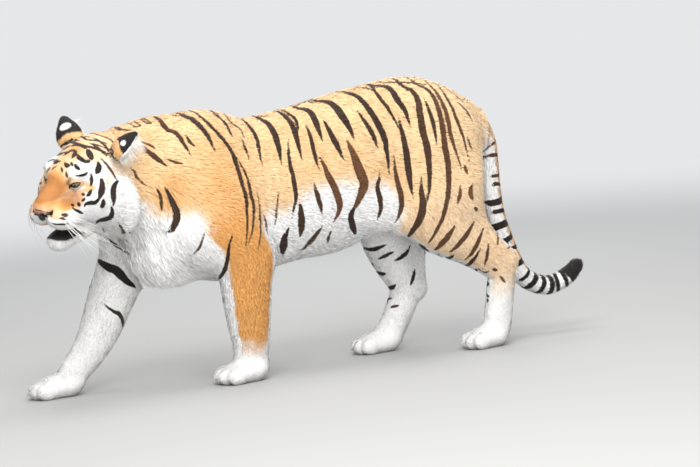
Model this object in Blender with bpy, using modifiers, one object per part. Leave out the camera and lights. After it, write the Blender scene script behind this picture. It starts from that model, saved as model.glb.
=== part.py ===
"""A tiger walking, life size: the body's outline out to the tips of its coat, divided into named solids.

It stands on Z = 0, faces -Y, and its left side is +X. Lengths are metres.
The flesh is a set of rounded muscle volumes and tapering limbs that blend into each other.
One closed surface is drawn round them, and flat cuts then part it into the animal's own pieces.
"""

import bmesh
import bpy
import numpy as np
from math import sin, cos, radians
from mathutils import Matrix, Vector

OBJECT = "tiger"

# ---- driving sizes -----------------------------------------------------------
GAP = 0.0003            # between neighbouring pieces
CELL = 0.009            # spacing at which the surface is drawn
BODY_TRIANGLES = 4900  # kept in the surface before it is parted
SHIFT = (-0.0214, 0.0918, 0.0)  # puts the origin under the middle of the animal
EYE_RADIUS = 0.0190
COAT_LENGTHS = dict(back=0.012, belly=0.030)  # already inside the outline

COLOURS = {
    "coat_orange": ((0.62, 0.30, 0.08), 0.85, 0.0),
    "coat_pale": ((0.78, 0.66, 0.48), 0.88, 0.0),
    "coat_white": ((0.85, 0.83, 0.78), 0.90, 0.0),
    "coat_tail": ((0.70, 0.52, 0.32), 0.88, 0.0),
    "coat_ear": ((0.10, 0.09, 0.08), 0.90, 0.0),
    "coat_head": ((0.66, 0.40, 0.16), 0.85, 0.0),
    "nose_skin": ((0.45, 0.20, 0.16), 0.45, 0.0),
    "eye_gloss": ((0.30, 0.26, 0.10), 0.08, 0.0),
}

# ---- head frame -------------------------------------------------------------
HEAD_AT = np.array((0.118, -0.967, 0.724))
HEAD_YAW, HEAD_PITCH, HEAD_ROLL, HEAD_SIZE = 26.5, 16.5, -12.3, 1.10


def head_matrix():
    y, p, r = radians(HEAD_YAW), radians(HEAD_PITCH), radians(HEAD_ROLL)
    f = np.array((sin(y) * cos(p), -cos(y) * cos(p), -sin(p)))
    l0 = np.array((cos(y), sin(y), 0.0))
    u0 = np.cross(f, l0)
    u0 = u0 / np.linalg.norm(u0)
    return np.stack((f, cos(r) * l0 + sin(r) * u0, cos(r) * u0 - sin(r) * l0), 1)


HEAD_R = head_matrix()


def hp(x, y, z):
    """A point of the head, from head units (forward, left, up) to metres."""
    return HEAD_AT + HEAD_R @ (np.array((x, y, z)) * HEAD_SIZE)


# ---- primitives -------------------------------------------------------------
def euler(rx, ry, rz):
    a, b, c = radians(rx), radians(ry), radians(rz)
    mx = np.array(((1, 0, 0), (0, cos(a), -sin(a)), (0, sin(a), cos(a))))
    my = np.array(((cos(b), 0, sin(b)), (0, 1, 0), (-sin(b), 0, cos(b))))
    mz = np.array(((cos(c), -sin(c), 0), (sin(c), cos(c), 0), (0, 0, 1)))
    return mz @ my @ mx


def d_ellipsoid(p, c, r, m):
    q = (p - c) @ m
    k0 = np.sqrt(((q / r) ** 2).sum(1)) + 1e-9
    k1 = np.sqrt(((q / r**2) ** 2).sum(1)) + 1e-9
    return k0 * (k0 - 1.0) / k1


def d_cone(p, a, b, ra, rb, squash):
    s = np.array((squash, 1.0, 1.0))
    p, a, b = p * s, a * s, b * s
    ba = b - a
    l2 = ba @ ba
    rr = ra - rb
    a2 = l2 - rr * rr
    pa = p - a
    y = pa @ ba
    z = y - l2
    w = pa * l2 - np.outer(y, ba)
    x2 = (w * w).sum(1)
    y2, z2 = y * y * l2, z * z * l2
    k = np.sign(rr) * rr * rr * x2
    mid = (np.sqrt(x2 * a2 / l2) + y * rr) / l2 - ra
    end = np.sqrt(x2 + z2) / l2 - rb
    start = np.sqrt(x2 + y2) / l2 - ra
    return np.where(np.sign(z) * a2 * z2 > k, end, np.where(np.sign(y) * a2 * y2 < k, start, mid))


def smooth_table(table, n=240):
    """The table resampled with a cubic through its rows."""
    y = table[:, 0]
    slope = np.zeros_like(table)
    slope[1:-1] = (table[2:] - table[:-2]) / (y[2:] - y[:-2])[:, None]
    slope[0] = (table[1] - table[0]) / (y[1] - y[0])
    slope[-1] = (table[-1] - table[-2]) / (y[-1] - y[-2])
    t = np.linspace(y[0], y[-1], n)
    i = np.clip(np.searchsorted(y, t) - 1, 0, len(y) - 2)
    h = (y[i + 1] - y[i])[:, None]
    u = (t - y[i])[:, None] / h
    return (table[i] * (2 * u**3 - 3 * u**2 + 1) + slope[i] * h * (u**3 - 2 * u**2 + u)
            + table[i + 1] * (3 * u**2 - 2 * u**3) + slope[i + 1] * h * (u**3 - u**2))


def curve(points, n):
    """A cubic through rows of numbers, sampled n times between each two."""
    t = np.array(points, float)
    k = np.concatenate(([0.0], np.cumsum(np.linalg.norm(np.diff(t[:, :3], axis=0), axis=1))))
    return smooth_table(np.column_stack((k, t)), n * (len(t) - 1) + 1)[:, 1:]


def d_tube(p, rows, squash):
    """Distance to a bent, tapering limb. Its rows are x, y, z, radius."""
    s = np.array((squash, 1.0, 1.0))
    q, c = p * s, rows[:, :3] * s
    best = np.full(len(p), 9.0)
    for a, b, ra, rb in zip(c[:-1], c[1:], rows[:-1, 3], rows[1:, 3]):
        ab = b - a
        t = np.clip(((q - a) @ ab) / (ab @ ab), 0, 1)
        best = np.minimum(best, np.linalg.norm(q - a - t[:, None] * ab, axis=1) - (ra + (rb - ra) * t))
    return best


# sections of the barrel: y, z of the widest level, half width, height above, depth below, roundness
BARREL = np.array((
    (-0.775, 0.700, 0.114, 0.190, 0.170, 2.1),
    (-0.700, 0.680, 0.147, 0.238, 0.265, 2.1),
    (-0.620, 0.655, 0.163, 0.268, 0.290, 2.2),
    (-0.540, 0.645, 0.173, 0.276, 0.290, 2.2),
    (-0.430, 0.630, 0.180, 0.284, 0.284, 2.2),
    (-0.330, 0.630, 0.184, 0.270, 0.270, 2.2),
    (-0.180, 0.640, 0.188, 0.276, 0.258, 2.2),
    (-0.030, 0.660, 0.190, 0.284, 0.266, 2.2),
    (0.090, 0.690, 0.184, 0.276, 0.262, 2.2),
    (0.200, 0.725, 0.173, 0.250, 0.240, 2.2),
    (0.320, 0.750, 0.160, 0.220, 0.205, 2.1),
    (0.440, 0.760, 0.138, 0.178, 0.170, 2.0),
    (0.520, 0.765, 0.104, 0.135, 0.140, 2.0),
    (0.570, 0.765, 0.071, 0.090, 0.100, 2.0),
))


BARREL_FINE = smooth_table(BARREL)


def d_barrel(p):
    t = BARREL_FINE
    y = np.clip(p[:, 1], t[0, 0], t[-1, 0])
    zc, hw, up, down, n = (np.interp(y, t[:, 0], t[:, c]) for c in range(1, 6))
    dz = p[:, 2] - zc
    h = np.where(dz > 0, up, down)
    # the back is narrower than the belly
    x = np.abs(p[:, 0]) * (1.0 + 0.10 * np.clip(dz / h, 0, 1))
    rho = ((x / hw) ** n + (np.abs(dz) / h) ** n + 1e-12) ** (1.0 / n)
    r = np.sqrt(x * x + dz * dz) + 1e-6
    edge = r / np.maximum(rho, 1e-3)
    over = 2.5 * (p[:, 1] - y)
    return np.where(rho > 1e-3, np.sqrt(r * r + over * over) - edge, -np.minimum(hw, h)) * 0.95


def smin(a, b, k):
    h = np.maximum(k - np.abs(a - b), 0.0) / k
    return np.minimum(a, b) - h * h * k * 0.25


EYES = []
PRIMS = []   # (kind, data, k, lo, hi)


def add(kind, data, k, lo, hi):
    PRIMS.append((kind, data, k, np.asarray(lo, float), np.asarray(hi, float)))


def ell(c, r, k=0.03, rot=(0, 0, 0), cut=False):
    c, r = np.array(c, float), np.array(r, float)
    m = euler(*rot) if not isinstance(rot, np.ndarray) else rot
    e = np.abs(m) @ r
    add('-e' if cut else 'e', (c, r, m), k, c - e, c + e)


def cone(a, b, ra, rb, k=0.03, squash=1.0):
    a, b = np.array(a, float), np.array(b, float)
    ea, eb = (np.array((r / squash, r, r)) for r in (ra, rb))
    add('c', (a, b, ra, rb, squash), k, np.minimum(a - ea, b - eb), np.maximum(a + ea, b + eb))


def chain(points, k=0.02, squash=1.0, n=4):
    """A smooth limb through (x, y, z, radius) points."""
    rows = curve(points, n)
    e = rows[:, 3:] * np.array((1 / squash, 1, 1))
    add('t', (rows, squash), k, (rows[:, :3] - e).min(0), (rows[:, :3] + e).max(0))


def hell(c, r, k=0.02, rot=(0, 0, 0), both=True, cut=False):
    """An ellipsoid in the head's units, on both sides of the face."""
    for side in ((1, -1) if both else (1,)):
        m = euler(rot[0] * side, rot[1], rot[2] * side)
        ell(hp(c[0], c[1] * side, c[2]), np.array(r) * HEAD_SIZE, k, HEAD_R @ m, cut)


def paw(x, y, heading, wide, long, k=0.02):
    """A foot with four toes. Its heel pad is under (x, y) and it points along heading, in degrees from -Y towards +X."""
    a = radians(heading)
    f, s = np.array((sin(a), -cos(a), 0)), np.array((cos(a), sin(a), 0))
    rz = (0, 0, heading)
    o = np.array((x, y, 0.0))
    ell(o + f * 0.015 * long + (0, 0, 0.038), (0.056 * wide, 0.068 * long, 0.045), 0.03, rz)
    ell(o + f * 0.058 * long + (0, 0, 0.032), (0.058 * wide, 0.046 * long, 0.037), 0.02, rz)
    for dx, df, r in ((-0.044, 0.076, 0.0195), (-0.0155, 0.094, 0.0215), (0.0155, 0.094, 0.0215), (0.044, 0.076, 0.0195)):
        ell(o + f * df * long + s * dx * wide + (0, 0, 0.029), (r * wide, 0.036 * long, 0.031), 0.014, (0, 0, heading + dx * 250))


def build():
    PRIMS.clear()
    add('b', None, 0.03, (-0.21, -0.775, 0.33), (0.21, 0.605, 0.99))
    # ---- neck
    cone((0.005, -0.57, 0.725), (0.058, -0.850, 0.748), 0.192, 0.152, 0.07, 1.18)
    ell((0.03, -0.76, 0.655), (0.115, 0.12, 0.105), 0.07, (-20, 0, 0))
    # ---- withers and croup
    ell((0.0, -0.47, 0.840), (0.085, 0.12, 0.086), 0.06)
    ell((0.0, 0.31, 0.86), (0.095, 0.17, 0.108), 0.07, (-4, 0, 0))
    # ---- chest between the forelegs
    ell((0.0, -0.66, 0.50), (0.120, 0.130, 0.142), 0.06, (-12, 0, 0))
    # ---- near (left) shoulder, arm and forearm
    ell((0.110, -0.500, 0.700), (0.074, 0.135, 0.205), 0.09, (12, -6, 0))
    ell((0.122, -0.520, 0.555), (0.072, 0.140, 0.150), 0.09, (0, 0, 0))
    chain(((0.130, -0.540, 0.560, 0.110), (0.137, -0.440, 0.470, 0.108), (0.140, -0.412, 0.400, 0.100), (0.139, -0.411, 0.320, 0.091), (0.135, -0.410, 0.210, 0.079), (0.130, -0.408, 0.130, 0.067), (0.128, -0.412, 0.070, 0.062)), 0.05, 1.32)
    ell((0.140, -0.352, 0.425), (0.043, 0.048, 0.060), 0.05)
    paw(0.128, -0.412, 6, 1.10, 1.06)
    # ---- far (right) shoulder, arm and forearm, stretched forward
    ell((-0.110, -0.570, 0.705), (0.074, 0.135, 0.200), 0.09, (28, 6, 0))
    ell((-0.122, -0.680, 0.570), (0.072, 0.130, 0.135), 0.09)
    chain(((-0.132, -0.735, 0.590, 0.102), (-0.137, -0.735, 0.480, 0.100), (-0.138, -0.762, 0.410, 0.092), (-0.136, -0.806, 0.325, 0.085), (-0.131, -0.862, 0.215, 0.073), (-0.127, -0.910, 0.145, 0.062), (-0.124, -0.970, 0.080, 0.053)), 0.05, 1.25)
    ell((-0.140, -0.700, 0.410), (0.042, 0.048, 0.058), 0.05)
    paw(-0.124, -0.998, -4, 1.06, 1.06)
    # ---- near (left) hind leg
    ell((0.096, 0.370, 0.655), (0.084, 0.155, 0.225), 0.09, (-10, -5, 0))
    ell((0.100, 0.315, 0.520), (0.076, 0.115, 0.135), 0.08, (20, 0, 0))
    ell((0.095, 0.440, 0.560), (0.070, 0.078, 0.140), 0.07, (-8, 0, 0))
    chain(((0.112, 0.310, 0.505, 0.100), (0.120, 0.345, 0.445, 0.092), (0.124, 0.450, 0.375, 0.076), (0.127, 0.535, 0.305, 0.060), (0.128, 0.568, 0.262, 0.055), (0.128, 0.560, 0.190, 0.053), (0.126, 0.542, 0.090, 0.055)), 0.05, 1.25)
    chain(((0.105, 0.455, 0.520, 0.060), (0.118, 0.500, 0.420, 0.046), (0.128, 0.590, 0.312, 0.034)), 0.05, 1.3)
    ell((0.128, 0.600, 0.302), (0.032, 0.034, 0.036), 0.03)
    paw(0.126, 0.525, 4, 1.0, 1.0)
    ell((0.110, 0.190, 0.545), (0.046, 0.120, 0.085), 0.09, (12, 0, 0))
    ell((-0.110, 0.160, 0.545), (0.046, 0.120, 0.085), 0.09, (12, 0, 0))
    # ---- far (right) hind leg, reaching forward
    ell((-0.096, 0.350, 0.655), (0.084, 0.155, 0.225), 0.09, (-2, 5, 0))
    ell((-0.100, 0.260, 0.515), (0.076, 0.115, 0.130), 0.08, (10, 0, 0))
    ell((-0.095, 0.400, 0.560), (0.070, 0.085, 0.140), 0.07, (4, 0, 0))
    chain(((-0.112, 0.245, 0.500, 0.102), (-0.118, 0.240, 0.420, 0.096), (-0.122, 0.262, 0.330, 0.078), (-0.124, 0.296, 0.245, 0.062), (-0.124, 0.298, 0.200, 0.058), (-0.122, 0.262, 0.125, 0.055), (-0.120, 0.225, 0.070, 0.054)), 0.05, 1.2)
    chain(((-0.105, 0.390, 0.500, 0.062), (-0.120, 0.350, 0.380, 0.050), (-0.124, 0.345, 0.225, 0.034)), 0.05, 1.3)
    ell((-0.124, 0.345, 0.212), (0.032, 0.034, 0.036), 0.03)
    paw(-0.120, 0.205, -2, 1.0, 1.0)
    # ---- tail
    chain(((0, 0.520, 0.820, 0.065), (0, 0.570, 0.780, 0.056), (0, 0.604, 0.715, 0.046), (0, 0.614, 0.640, 0.040), (0, 0.618, 0.546, 0.038),
           (0, 0.628, 0.452, 0.037), (0, 0.652, 0.368, 0.036), (0, 0.676, 0.298, 0.036), (0, 0.706, 0.238, 0.036), (0, 0.750, 0.198, 0.036),
           (0, 0.806, 0.178, 0.036), (0, 0.858, 0.182, 0.035), (0, 0.905, 0.203, 0.033), (0, 0.938, 0.230, 0.028)), 0.03)
    # ---- head
    hell((-0.055, 0, 0.045), (0.118, 0.098, 0.088), 0.05, both=False)
    hell((0.018, 0, 0.062), (0.078, 0.078, 0.050), 0.03, both=False)
    hell((0.038, 0.046, 0.076), (0.036, 0.034, 0.024), 0.02)
    cone(hp(0.040, 0, 0.048), hp(0.143, 0, 0.010), 0.045 * HEAD_SIZE, 0.035 * HEAD_SIZE, 0.03)
    hell((0.157, 0, 0.002), (0.027, 0.033, 0.024), 0.012, both=False)
    hell((0.120, 0.034, -0.031), (0.054, 0.041, 0.041), 0.024)
    hell((0.075, 0.045, -0.037), (0.064, 0.041, 0.041), 0.04)
    hell((0.030, 0.070, -0.002), (0.060, 0.038, 0.046), 0.03)
    hell((-0.010, 0.078, -0.025), (0.080, 0.055, 0.082), 0.04)
    hell((-0.060, 0.092, -0.065), (0.060, 0.062, 0.090), 0.05)
    hell((-0.050, 0, -0.090), (0.090, 0.090, 0.075), 0.05, both=False)
    # mouth opening and lower jaw
    hell((0.132, 0, -0.086), (0.076, 0.050, 0.0135), 0.008, both=False, cut=True, rot=(0, 12, 0))
    cone(hp(0.000, 0, -0.105), hp(0.100, 0, -0.128), 0.056 * HEAD_SIZE, 0.034 * HEAD_SIZE, 0.010)
    hell((0.112, 0, -0.126), (0.042, 0.040, 0.033), 0.012, both=False)
    hell((0.040, 0.048, -0.092), (0.046, 0.030, 0.036), 0.018)
    # eye sockets
    hell((0.074, 0.0565, 0.053), (0.024, 0.020, 0.015), 0.012, cut=True, rot=(0, 0, -20))
    # ears
    for side in (1, -1):
        up = np.array((-0.52, 0.58, 0.64) if side > 0 else (-0.35, -0.62, 0.70))
        up /= np.linalg.norm(up)
        out = np.array((-0.75, 0.55 * side, -0.35))
        out -= up * (out @ up)
        out /= np.linalg.norm(out)
        m = HEAD_R @ np.stack((np.cross(up, out), out, up), 1)
        c = np.array((-0.106, 0.116 * side, 0.122))
        s = HEAD_SIZE
        ell(hp(*(c - up * 0.016)), (0.043 * s, 0.024 * s, 0.054 * s), 0.018, m)
        ell(hp(*(c + up * 0.021)), (0.023 * s, 0.013 * s, 0.035 * s), 0.014, m)
        ell(hp(*(c + out * 0.021 + up * 0.004)), (0.033 * s, 0.019 * s, 0.045 * s), 0.008, m, cut=True)
    EYES[:] = [(hp(0.058, side * 0.0525, 0.053), 0.0190) for side in (1, -1)]


def prim(kind, data, p):
    if kind in ('e', '-e'):
        return d_ellipsoid(p, *data)
    if kind == 'c':
        return d_cone(p, *data)
    if kind == 't':
        return d_tube(p, *data)
    if kind == 'b':
        return d_barrel(p)
    return p[:, 2].copy()


def field(p, reach=0.05):
    """Distance to the surface of each point; far from every part it is only a large number."""
    d = np.full(len(p), 9.0)
    for kind, data, k, lo, hi in PRIMS:
        near = np.flatnonzero(((p > lo - k - reach) & (p < hi + k + reach)).all(1))
        if not len(near):
            continue
        e = prim(kind, data, p[near])
        if kind[0] == '-':
            if kind == '-z':
                e = -e
                d[near] = np.maximum(d[near], e)
                continue
            d[near] = -smin(-d[near], e, k)
        else:
            d[near] = smin(d[near], e, k)
    return d


def surface(h, field=field, lo=(-0.30, -1.22, -0.03), hi=(0.36, 1.03, 1.05), block=5, offset=0.0):
    """Closed quad mesh of the field's zero level, from cells of size h found near it."""
    lo, hi = np.array(lo), np.array(hi)
    nb = np.ceil((hi - lo) / (h * block)).astype(int)
    n = nb * block + 1
    H = h * block
    g = [lo[i] + H * np.arange(nb[i] + 1) for i in range(3)]
    C = np.stack(np.meshgrid(*g, indexing='ij'), -1).reshape(-1, 3)
    dc = field(C, reach=H * 2.5).reshape(nb + 1) - offset
    near = np.abs(dc) < H * 1.8
    act = np.zeros(nb, bool)
    for a in (0, 1):
        for b in (0, 1):
            for c in (0, 1):
                act |= near[a:nb[0] + a, b:nb[1] + b, c:nb[2] + c]
    D = np.full(n, 9.0, np.float32)
    side = np.where(dc[:-1, :-1, :-1] < 0, -9.0, 9.0).astype(np.float32)
    D[:-1, :-1, :-1] = side.repeat(block, 0).repeat(block, 1).repeat(block, 2)
    need = np.zeros(n, bool)
    bi = np.argwhere(act)
    o = np.arange(block + 1)
    for i, j, k in bi * block:
        need[i:i + block + 1, j:j + block + 1, k:k + block + 1] = True
    idx = np.argwhere(need)
    pts = lo + idx * h
    val = np.empty(len(pts))
    for s in range(0, len(pts), 200000):
        val[s:s + 200000] = field(pts[s:s + 200000], reach=H * 1.5)
    D[need] = val - offset
    D[0], D[-1], D[:, 0], D[:, -1], D[:, :, 0], D[:, :, -1] = (9.0,) * 6
    inside = D < 0
    # cells crossed by the surface
    cs = [slice(0, -1), slice(1, None)]
    cnt = np.zeros(n - 1, np.int8)
    for a in (0, 1):
        for b in (0, 1):
            for c in (0, 1):
                cnt += inside[cs[a], cs[b], cs[c]]
    cell = (cnt > 0) & (cnt < 8)
    ci = np.argwhere(cell)
    vid = np.full(n - 1, -1, np.int32)
    vid[cell] = np.arange(len(ci))
    acc = np.zeros((len(ci), 3))
    num = np.zeros(len(ci))
    corner = [(a, b, c) for a in (0, 1) for b in (0, 1) for c in (0, 1)]
    for p in corner:
        for ax in range(3):
            if p[ax]:
                continue
            q = list(p)
            q[ax] = 1
            dp = D[ci[:, 0] + p[0], ci[:, 1] + p[1], ci[:, 2] + p[2]]
            dq = D[ci[:, 0] + q[0], ci[:, 1] + q[1], ci[:, 2] + q[2]]
            x = (dp < 0) != (dq < 0)
            t = dp[x] / (dp[x] - dq[x])
            v = np.tile(np.array(p, float), (x.sum(), 1))
            v[:, ax] += t
            acc[x] += v
            num[x] += 1
    V = lo + (ci + acc / num[:, None]) * h
    Q = []
    for ax in range(3):
        sl0 = [slice(None)] * 3
        sl1 = [slice(None)] * 3
        sl0[ax], sl1[ax] = slice(0, -1), slice(1, None)
        a, b = inside[tuple(sl0)], inside[tuple(sl1)]
        e = np.argwhere(a != b)
        flip = a[tuple(e.T)]
        u, w = (ax + 1) % 3, (ax + 2) % 3
        c = []
        for du, dw in ((0, 0), (1, 0), (1, 1), (0, 1)):
            f = e.copy()
            f[:, u] -= du
            f[:, w] -= dw
            c.append(vid[tuple(f.T)])
        quad = np.stack(c, 1)
        quad[~flip] = quad[~flip][:, ::-1]
        Q.append(quad)
    return V, np.concatenate(Q)


def settle(V, field=field, steps=2, offset=0.0, eps=0.001):
    """Moves the points onto the field's zero level."""
    T = np.array(((1, -1, -1), (-1, -1, 1), (-1, 1, -1), (1, 1, 1)), float)
    for _ in range(steps):
        g = sum(t * (field(V + t * eps))[:, None] for t in T) / (4 * eps)
        d = field(V) - offset
        V = V - g * (np.clip(d, -0.01, 0.01) / np.maximum((g * g).sum(1), 0.2))[:, None]
    return V


# ---- the scene's housekeeping ------------------------------------------------
def clear():
    for obj in list(bpy.data.objects):
        bpy.data.objects.remove(obj, do_unlink=True)


def material(name):
    found = bpy.data.materials.get(name)
    if found:
        return found
    colour, rough, metal = COLOURS[name]
    found = bpy.data.materials.new(name)
    found.use_nodes = True
    shader = found.node_tree.nodes["Principled BSDF"]
    shader.inputs["Base Color"].default_value = (*colour, 1.0)
    shader.inputs["Roughness"].default_value = rough
    shader.inputs["Metallic"].default_value = metal
    found.diffuse_color = (*colour, 1.0)
    return found


def new_object(name, mesh, collection):
    obj = bpy.data.objects.new(name, mesh)
    collection.objects.link(obj)
    return obj


def baked(obj):
    """Replaces the object's mesh by the one its modifiers make."""
    graph = bpy.context.evaluated_depsgraph_get()
    mesh = bpy.data.meshes.new_from_object(obj.evaluated_get(graph))
    obj.modifiers.clear()
    obj.data = mesh
    return obj


def boolean(obj, cutter, operation):
    modifier = obj.modifiers.new("cut", "BOOLEAN")
    modifier.object, modifier.operation, modifier.solver = cutter, operation, "EXACT"
    return baked(obj)


def block(planes, grow, name, collection):
    """The space behind every (point, normal) plane, each moved outward by grow."""
    bm = bmesh.new()
    bmesh.ops.create_cube(bm, size=5.0)
    for point, normal in planes:
        n = Vector(normal).normalized()
        found = bmesh.ops.bisect_plane(bm, geom=bm.verts[:] + bm.edges[:] + bm.faces[:], dist=1e-7,
                                       plane_co=Vector(point) + n * grow, plane_no=n, clear_outer=True)
        edges = [e for e in found["geom_cut"] if isinstance(e, bmesh.types.BMEdge)]
        bmesh.ops.contextual_create(bm, geom=edges)
    bmesh.ops.recalc_face_normals(bm, faces=bm.faces[:])
    mesh = bpy.data.meshes.new(name)
    bm.to_mesh(mesh)
    bm.free()
    cutter = new_object(name, mesh, collection)
    cutter.hide_render, cutter.display_type = True, "WIRE"
    return cutter


def part_off(obj, name, planes, parts, cutters):
    """Parts the piece behind the planes from obj, and leaves a gap between the two."""
    piece = new_object(name, obj.data.copy(), parts)
    inner = block(planes, 0.0, name + "_inner", cutters)
    outer = block(planes, GAP, name + "_outer", cutters)
    boolean(piece, inner, "INTERSECT")
    boolean(obj, outer, "DIFFERENCE")
    for cutter in (inner, outer):
        bpy.data.objects.remove(cutter, do_unlink=True)
    return piece


def head_plane(point, normal):
    """A plane given in the head's own directions: forward, left, up."""
    return hp(*point), HEAD_R @ np.array(normal, float)


def drawn_body(collection):
    points, quads = surface(CELL)
    points = settle(points, steps=1)
    mesh = bpy.data.meshes.new("body")
    mesh.from_pydata(points.tolist(), [], quads.tolist())
    mesh.update()
    obj = new_object("trunk", mesh, collection)
    modifier = obj.modifiers.new("even", "REMESH")
    modifier.mode, modifier.voxel_size, modifier.adaptivity = "VOXEL", CELL, 0.0
    obj.modifiers.new("triangles", "TRIANGULATE")
    baked(obj)
    modifier = obj.modifiers.new("fewer", "DECIMATE")
    modifier.ratio = BODY_TRIANGLES / len(obj.data.polygons)
    return baked(obj)


def keep_largest(obj):
    """Leaves only the piece's main body, if a cut left a sliver beside it."""
    bm = bmesh.new()
    bm.from_mesh(obj.data)
    seen, groups = set(), []
    for v in bm.verts:
        if v in seen:
            continue
        seen.add(v)
        stack, group = [v], []
        while stack:
            w = stack.pop()
            group.append(w)
            for e in w.link_edges:
                o = e.other_vert(w)
                if o not in seen:
                    seen.add(o)
                    stack.append(o)
        groups.append(group)
    groups.sort(key=len)
    extra = [v for group in groups[:-1] for v in group]
    if extra:
        bmesh.ops.delete(bm, geom=extra, context="VERTS")
        bm.to_mesh(obj.data)
    bm.free()
    return len(groups)


def main():
    clear()
    build()
    scene = bpy.context.scene
    parts = bpy.data.collections.new(OBJECT)
    cutters = bpy.data.collections.new(OBJECT + "_cutters")
    scene.collection.children.link(parts)
    scene.collection.children.link(cutters)
    cutters.hide_render = True

    trunk = drawn_body(parts)
    # the soles are cut flat at ground level
    ground = block([((0, 0, 0), (0, 0, 1))], 0.0, "ground", cutters)
    boolean(trunk, ground, "DIFFERENCE")
    bpy.data.objects.remove(ground, do_unlink=True)

    left, right = (-1, 0, 0), (1, 0, 0)       # normals that bound a piece on its inner side
    cut = {}

    def off(source, name, planes):
        cut[name] = part_off(source, name, planes, parts, cutters)
        return cut[name]

    # left foreleg, upright
    low = off(trunk, "foreleg_left_lower", [((0.03, 0, 0), left), ((0, 0, 0.322), (0, 0, 1)), ((0, -0.70, 0), (0, -1, 0)), ((0, -0.20, 0), (0, 1, 0))])
    off(low, "forepaw_left", [((0, -0.42, 0.104), (0, 0.10, 1))])
    off(trunk, "foreleg_left_upper", [((0.052, 0, 0.325), (-1, 0, 0.10)), ((0, 0, 0.650), (0, 0, 1)), ((0, -0.540, 0.360), (0, -0.86, -0.51)),
                                      ((0, -0.290, 0.40), (0, 1, -0.05)), ((0, -0.620, 0.62), (0, -0.7, 0.7)), ((0, -0.330, 0.62), (0, 0.7, 0.7))])
    # right foreleg, stretched forward
    low = off(trunk, "foreleg_right_lower", [((-0.03, 0, 0), right), ((0, -0.800, 0.335), (0, 0.47, 0.88)), ((0, -0.60, 0), (0, 1, 0))])
    off(low, "forepaw_right", [((0, -0.950, 0.105), (0, 0.62, 0.78))])
    # neck and head leave the trunk before the right arm does
    neck = off(trunk, "neck", [((0, -0.620, 0.950), (0, 0.852, -0.524)), ((0, 0, 0.470), (0, 0, -1))])
    off(trunk, "foreleg_right_upper", [((-0.060, 0, 0.36), (1, 0, 0.08)), ((0, 0, 0.655), (0, 0, 1)), ((0, -0.630, 0.480), (0, 0.949, -0.316)),
                                       ((0, -0.66, 0.63), (0, 0.6, 0.8))])
    # left hind leg, pushing off
    low = off(trunk, "hindleg_left_lower", [((0.040, 0, 0), left), ((0, 0.390, 0.415), (0, -0.265, 0.964)), ((0, 0.15, 0), (0, -1, 0))])
    off(low, "hindpaw_left", [((0, 0.54, 0.100), (0, 0.12, 1))])
    off(trunk, "hindleg_left_upper", [((0.045, 0, 0.42), (-1, 0, 0.06)), ((0, 0, 0.690), (0, 0, 1)), ((0, 0.195, 0.45), (0, -1, -0.12)),
                                      ((0, 0.555, 0.5), (0, 1, 0)), ((0, 0.235, 0.655), (0, -0.7, 0.7)), ((0, 0.50, 0.66), (0, 0.7, 0.7))])
    # right hind leg, reaching forward
    low = off(trunk, "hindleg_right_lower", [((-0.040, 0, 0), right), ((0, 0.24, 0.385), (0, -0.10, 1)), ((0, 0.080, 0), (0, -1, 0)), ((0, 0.46, 0), (0, 1, 0))])
    off(low, "hindpaw_right", [((0, 0.245, 0.108), (0, 0.45, 0.89))])
    off(trunk, "hindleg_right_upper", [((-0.045, 0, 0.42), (1, 0, 0.06)), ((0, 0, 0.690), (0, 0, 1)), ((0, 0.145, 0.45), (0, -1, -0.05)),
                                       ((0, 0.555, 0.5), (0, 1, 0)), ((0, 0.185, 0.655), (0, -0.7, 0.7)), ((0, 0.50, 0.66), (0, 0.7, 0.7))])
    # tail
    tail = off(trunk, "tail_base", [((0, 0.585, 0.745), (0, -0.45, 0.89)), ((0, 0.560, 0), (0, -1, 0)), ((0.075, 0, 0), (1, 0, 0)), ((-0.075, 0, 0), (-1, 0, 0))])
    middle = off(tail, "tail_middle", [((0, 0.622, 0.500), (0, -0.10, 1))])
    off(middle, "tail_tip", [((0, 0.745, 0.198), (0, -0.92, 0.39))])
    # head and its pieces
    for side, name in ((1, "left"), (-1, "right")):
        up = np.array((-0.35, 0.62 * side, 0.70))
        up /= np.linalg.norm(up)
        base = np.array((-0.106, 0.116 * side, 0.122)) - up * 0.036
        off(neck, "ear_" + name, [head_plane(base, -up), head_plane((0, 0.055 * side, 0), (0, -side, 0)), head_plane((-0.030, 0, 0), (1, 0, 0)), head_plane((-0.175, 0, 0), (-1, 0, 0))])
    head = off(neck, "head", [head_plane((-0.125, 0, 0), (-1, 0, 0))])
    off(head, "lower_jaw", [head_plane((0.046, 0, 0), (-1, 0, 0)), head_plane((0.060, 0, -0.0805), (0.24, 0, 0.97))])
    off(head, "nose", [head_plane((0.160, 0, 0), (-1, 0, 0)), head_plane((0, 0, -0.024), (0, 0, -1)), head_plane((0, 0.036, 0), (0, 1, 0)), head_plane((0, -0.036, 0), (0, -1, 0)), head_plane((0, 0, 0.020), (-0.3, 0, 1))])
    # eyeballs in their sockets
    for (centre, radius), name in zip(EYES, ("left", "right")):
        for grow, use in ((GAP, "DIFFERENCE"), (0.0, None)):
            bm = bmesh.new()
            bmesh.ops.create_uvsphere(bm, u_segments=12, v_segments=8, radius=radius + grow)
            mesh = bpy.data.meshes.new("eye")
            bm.to_mesh(mesh)
            bm.free()
            mesh.transform(Matrix.Translation(Vector(centre)) @ Matrix(HEAD_R).to_4x4())
            ball = new_object("eye_" + name + ("" if use is None else "_socket"), mesh, parts if use is None else cutters)
            if use:
                ball.hide_render, ball.display_type = True, "WIRE"
                boolean(head, ball, use)
                bpy.data.objects.remove(ball, do_unlink=True)
            else:
                cut[ball.name] = ball
                mesh.shade_smooth()
    cut["trunk"] = trunk

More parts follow.
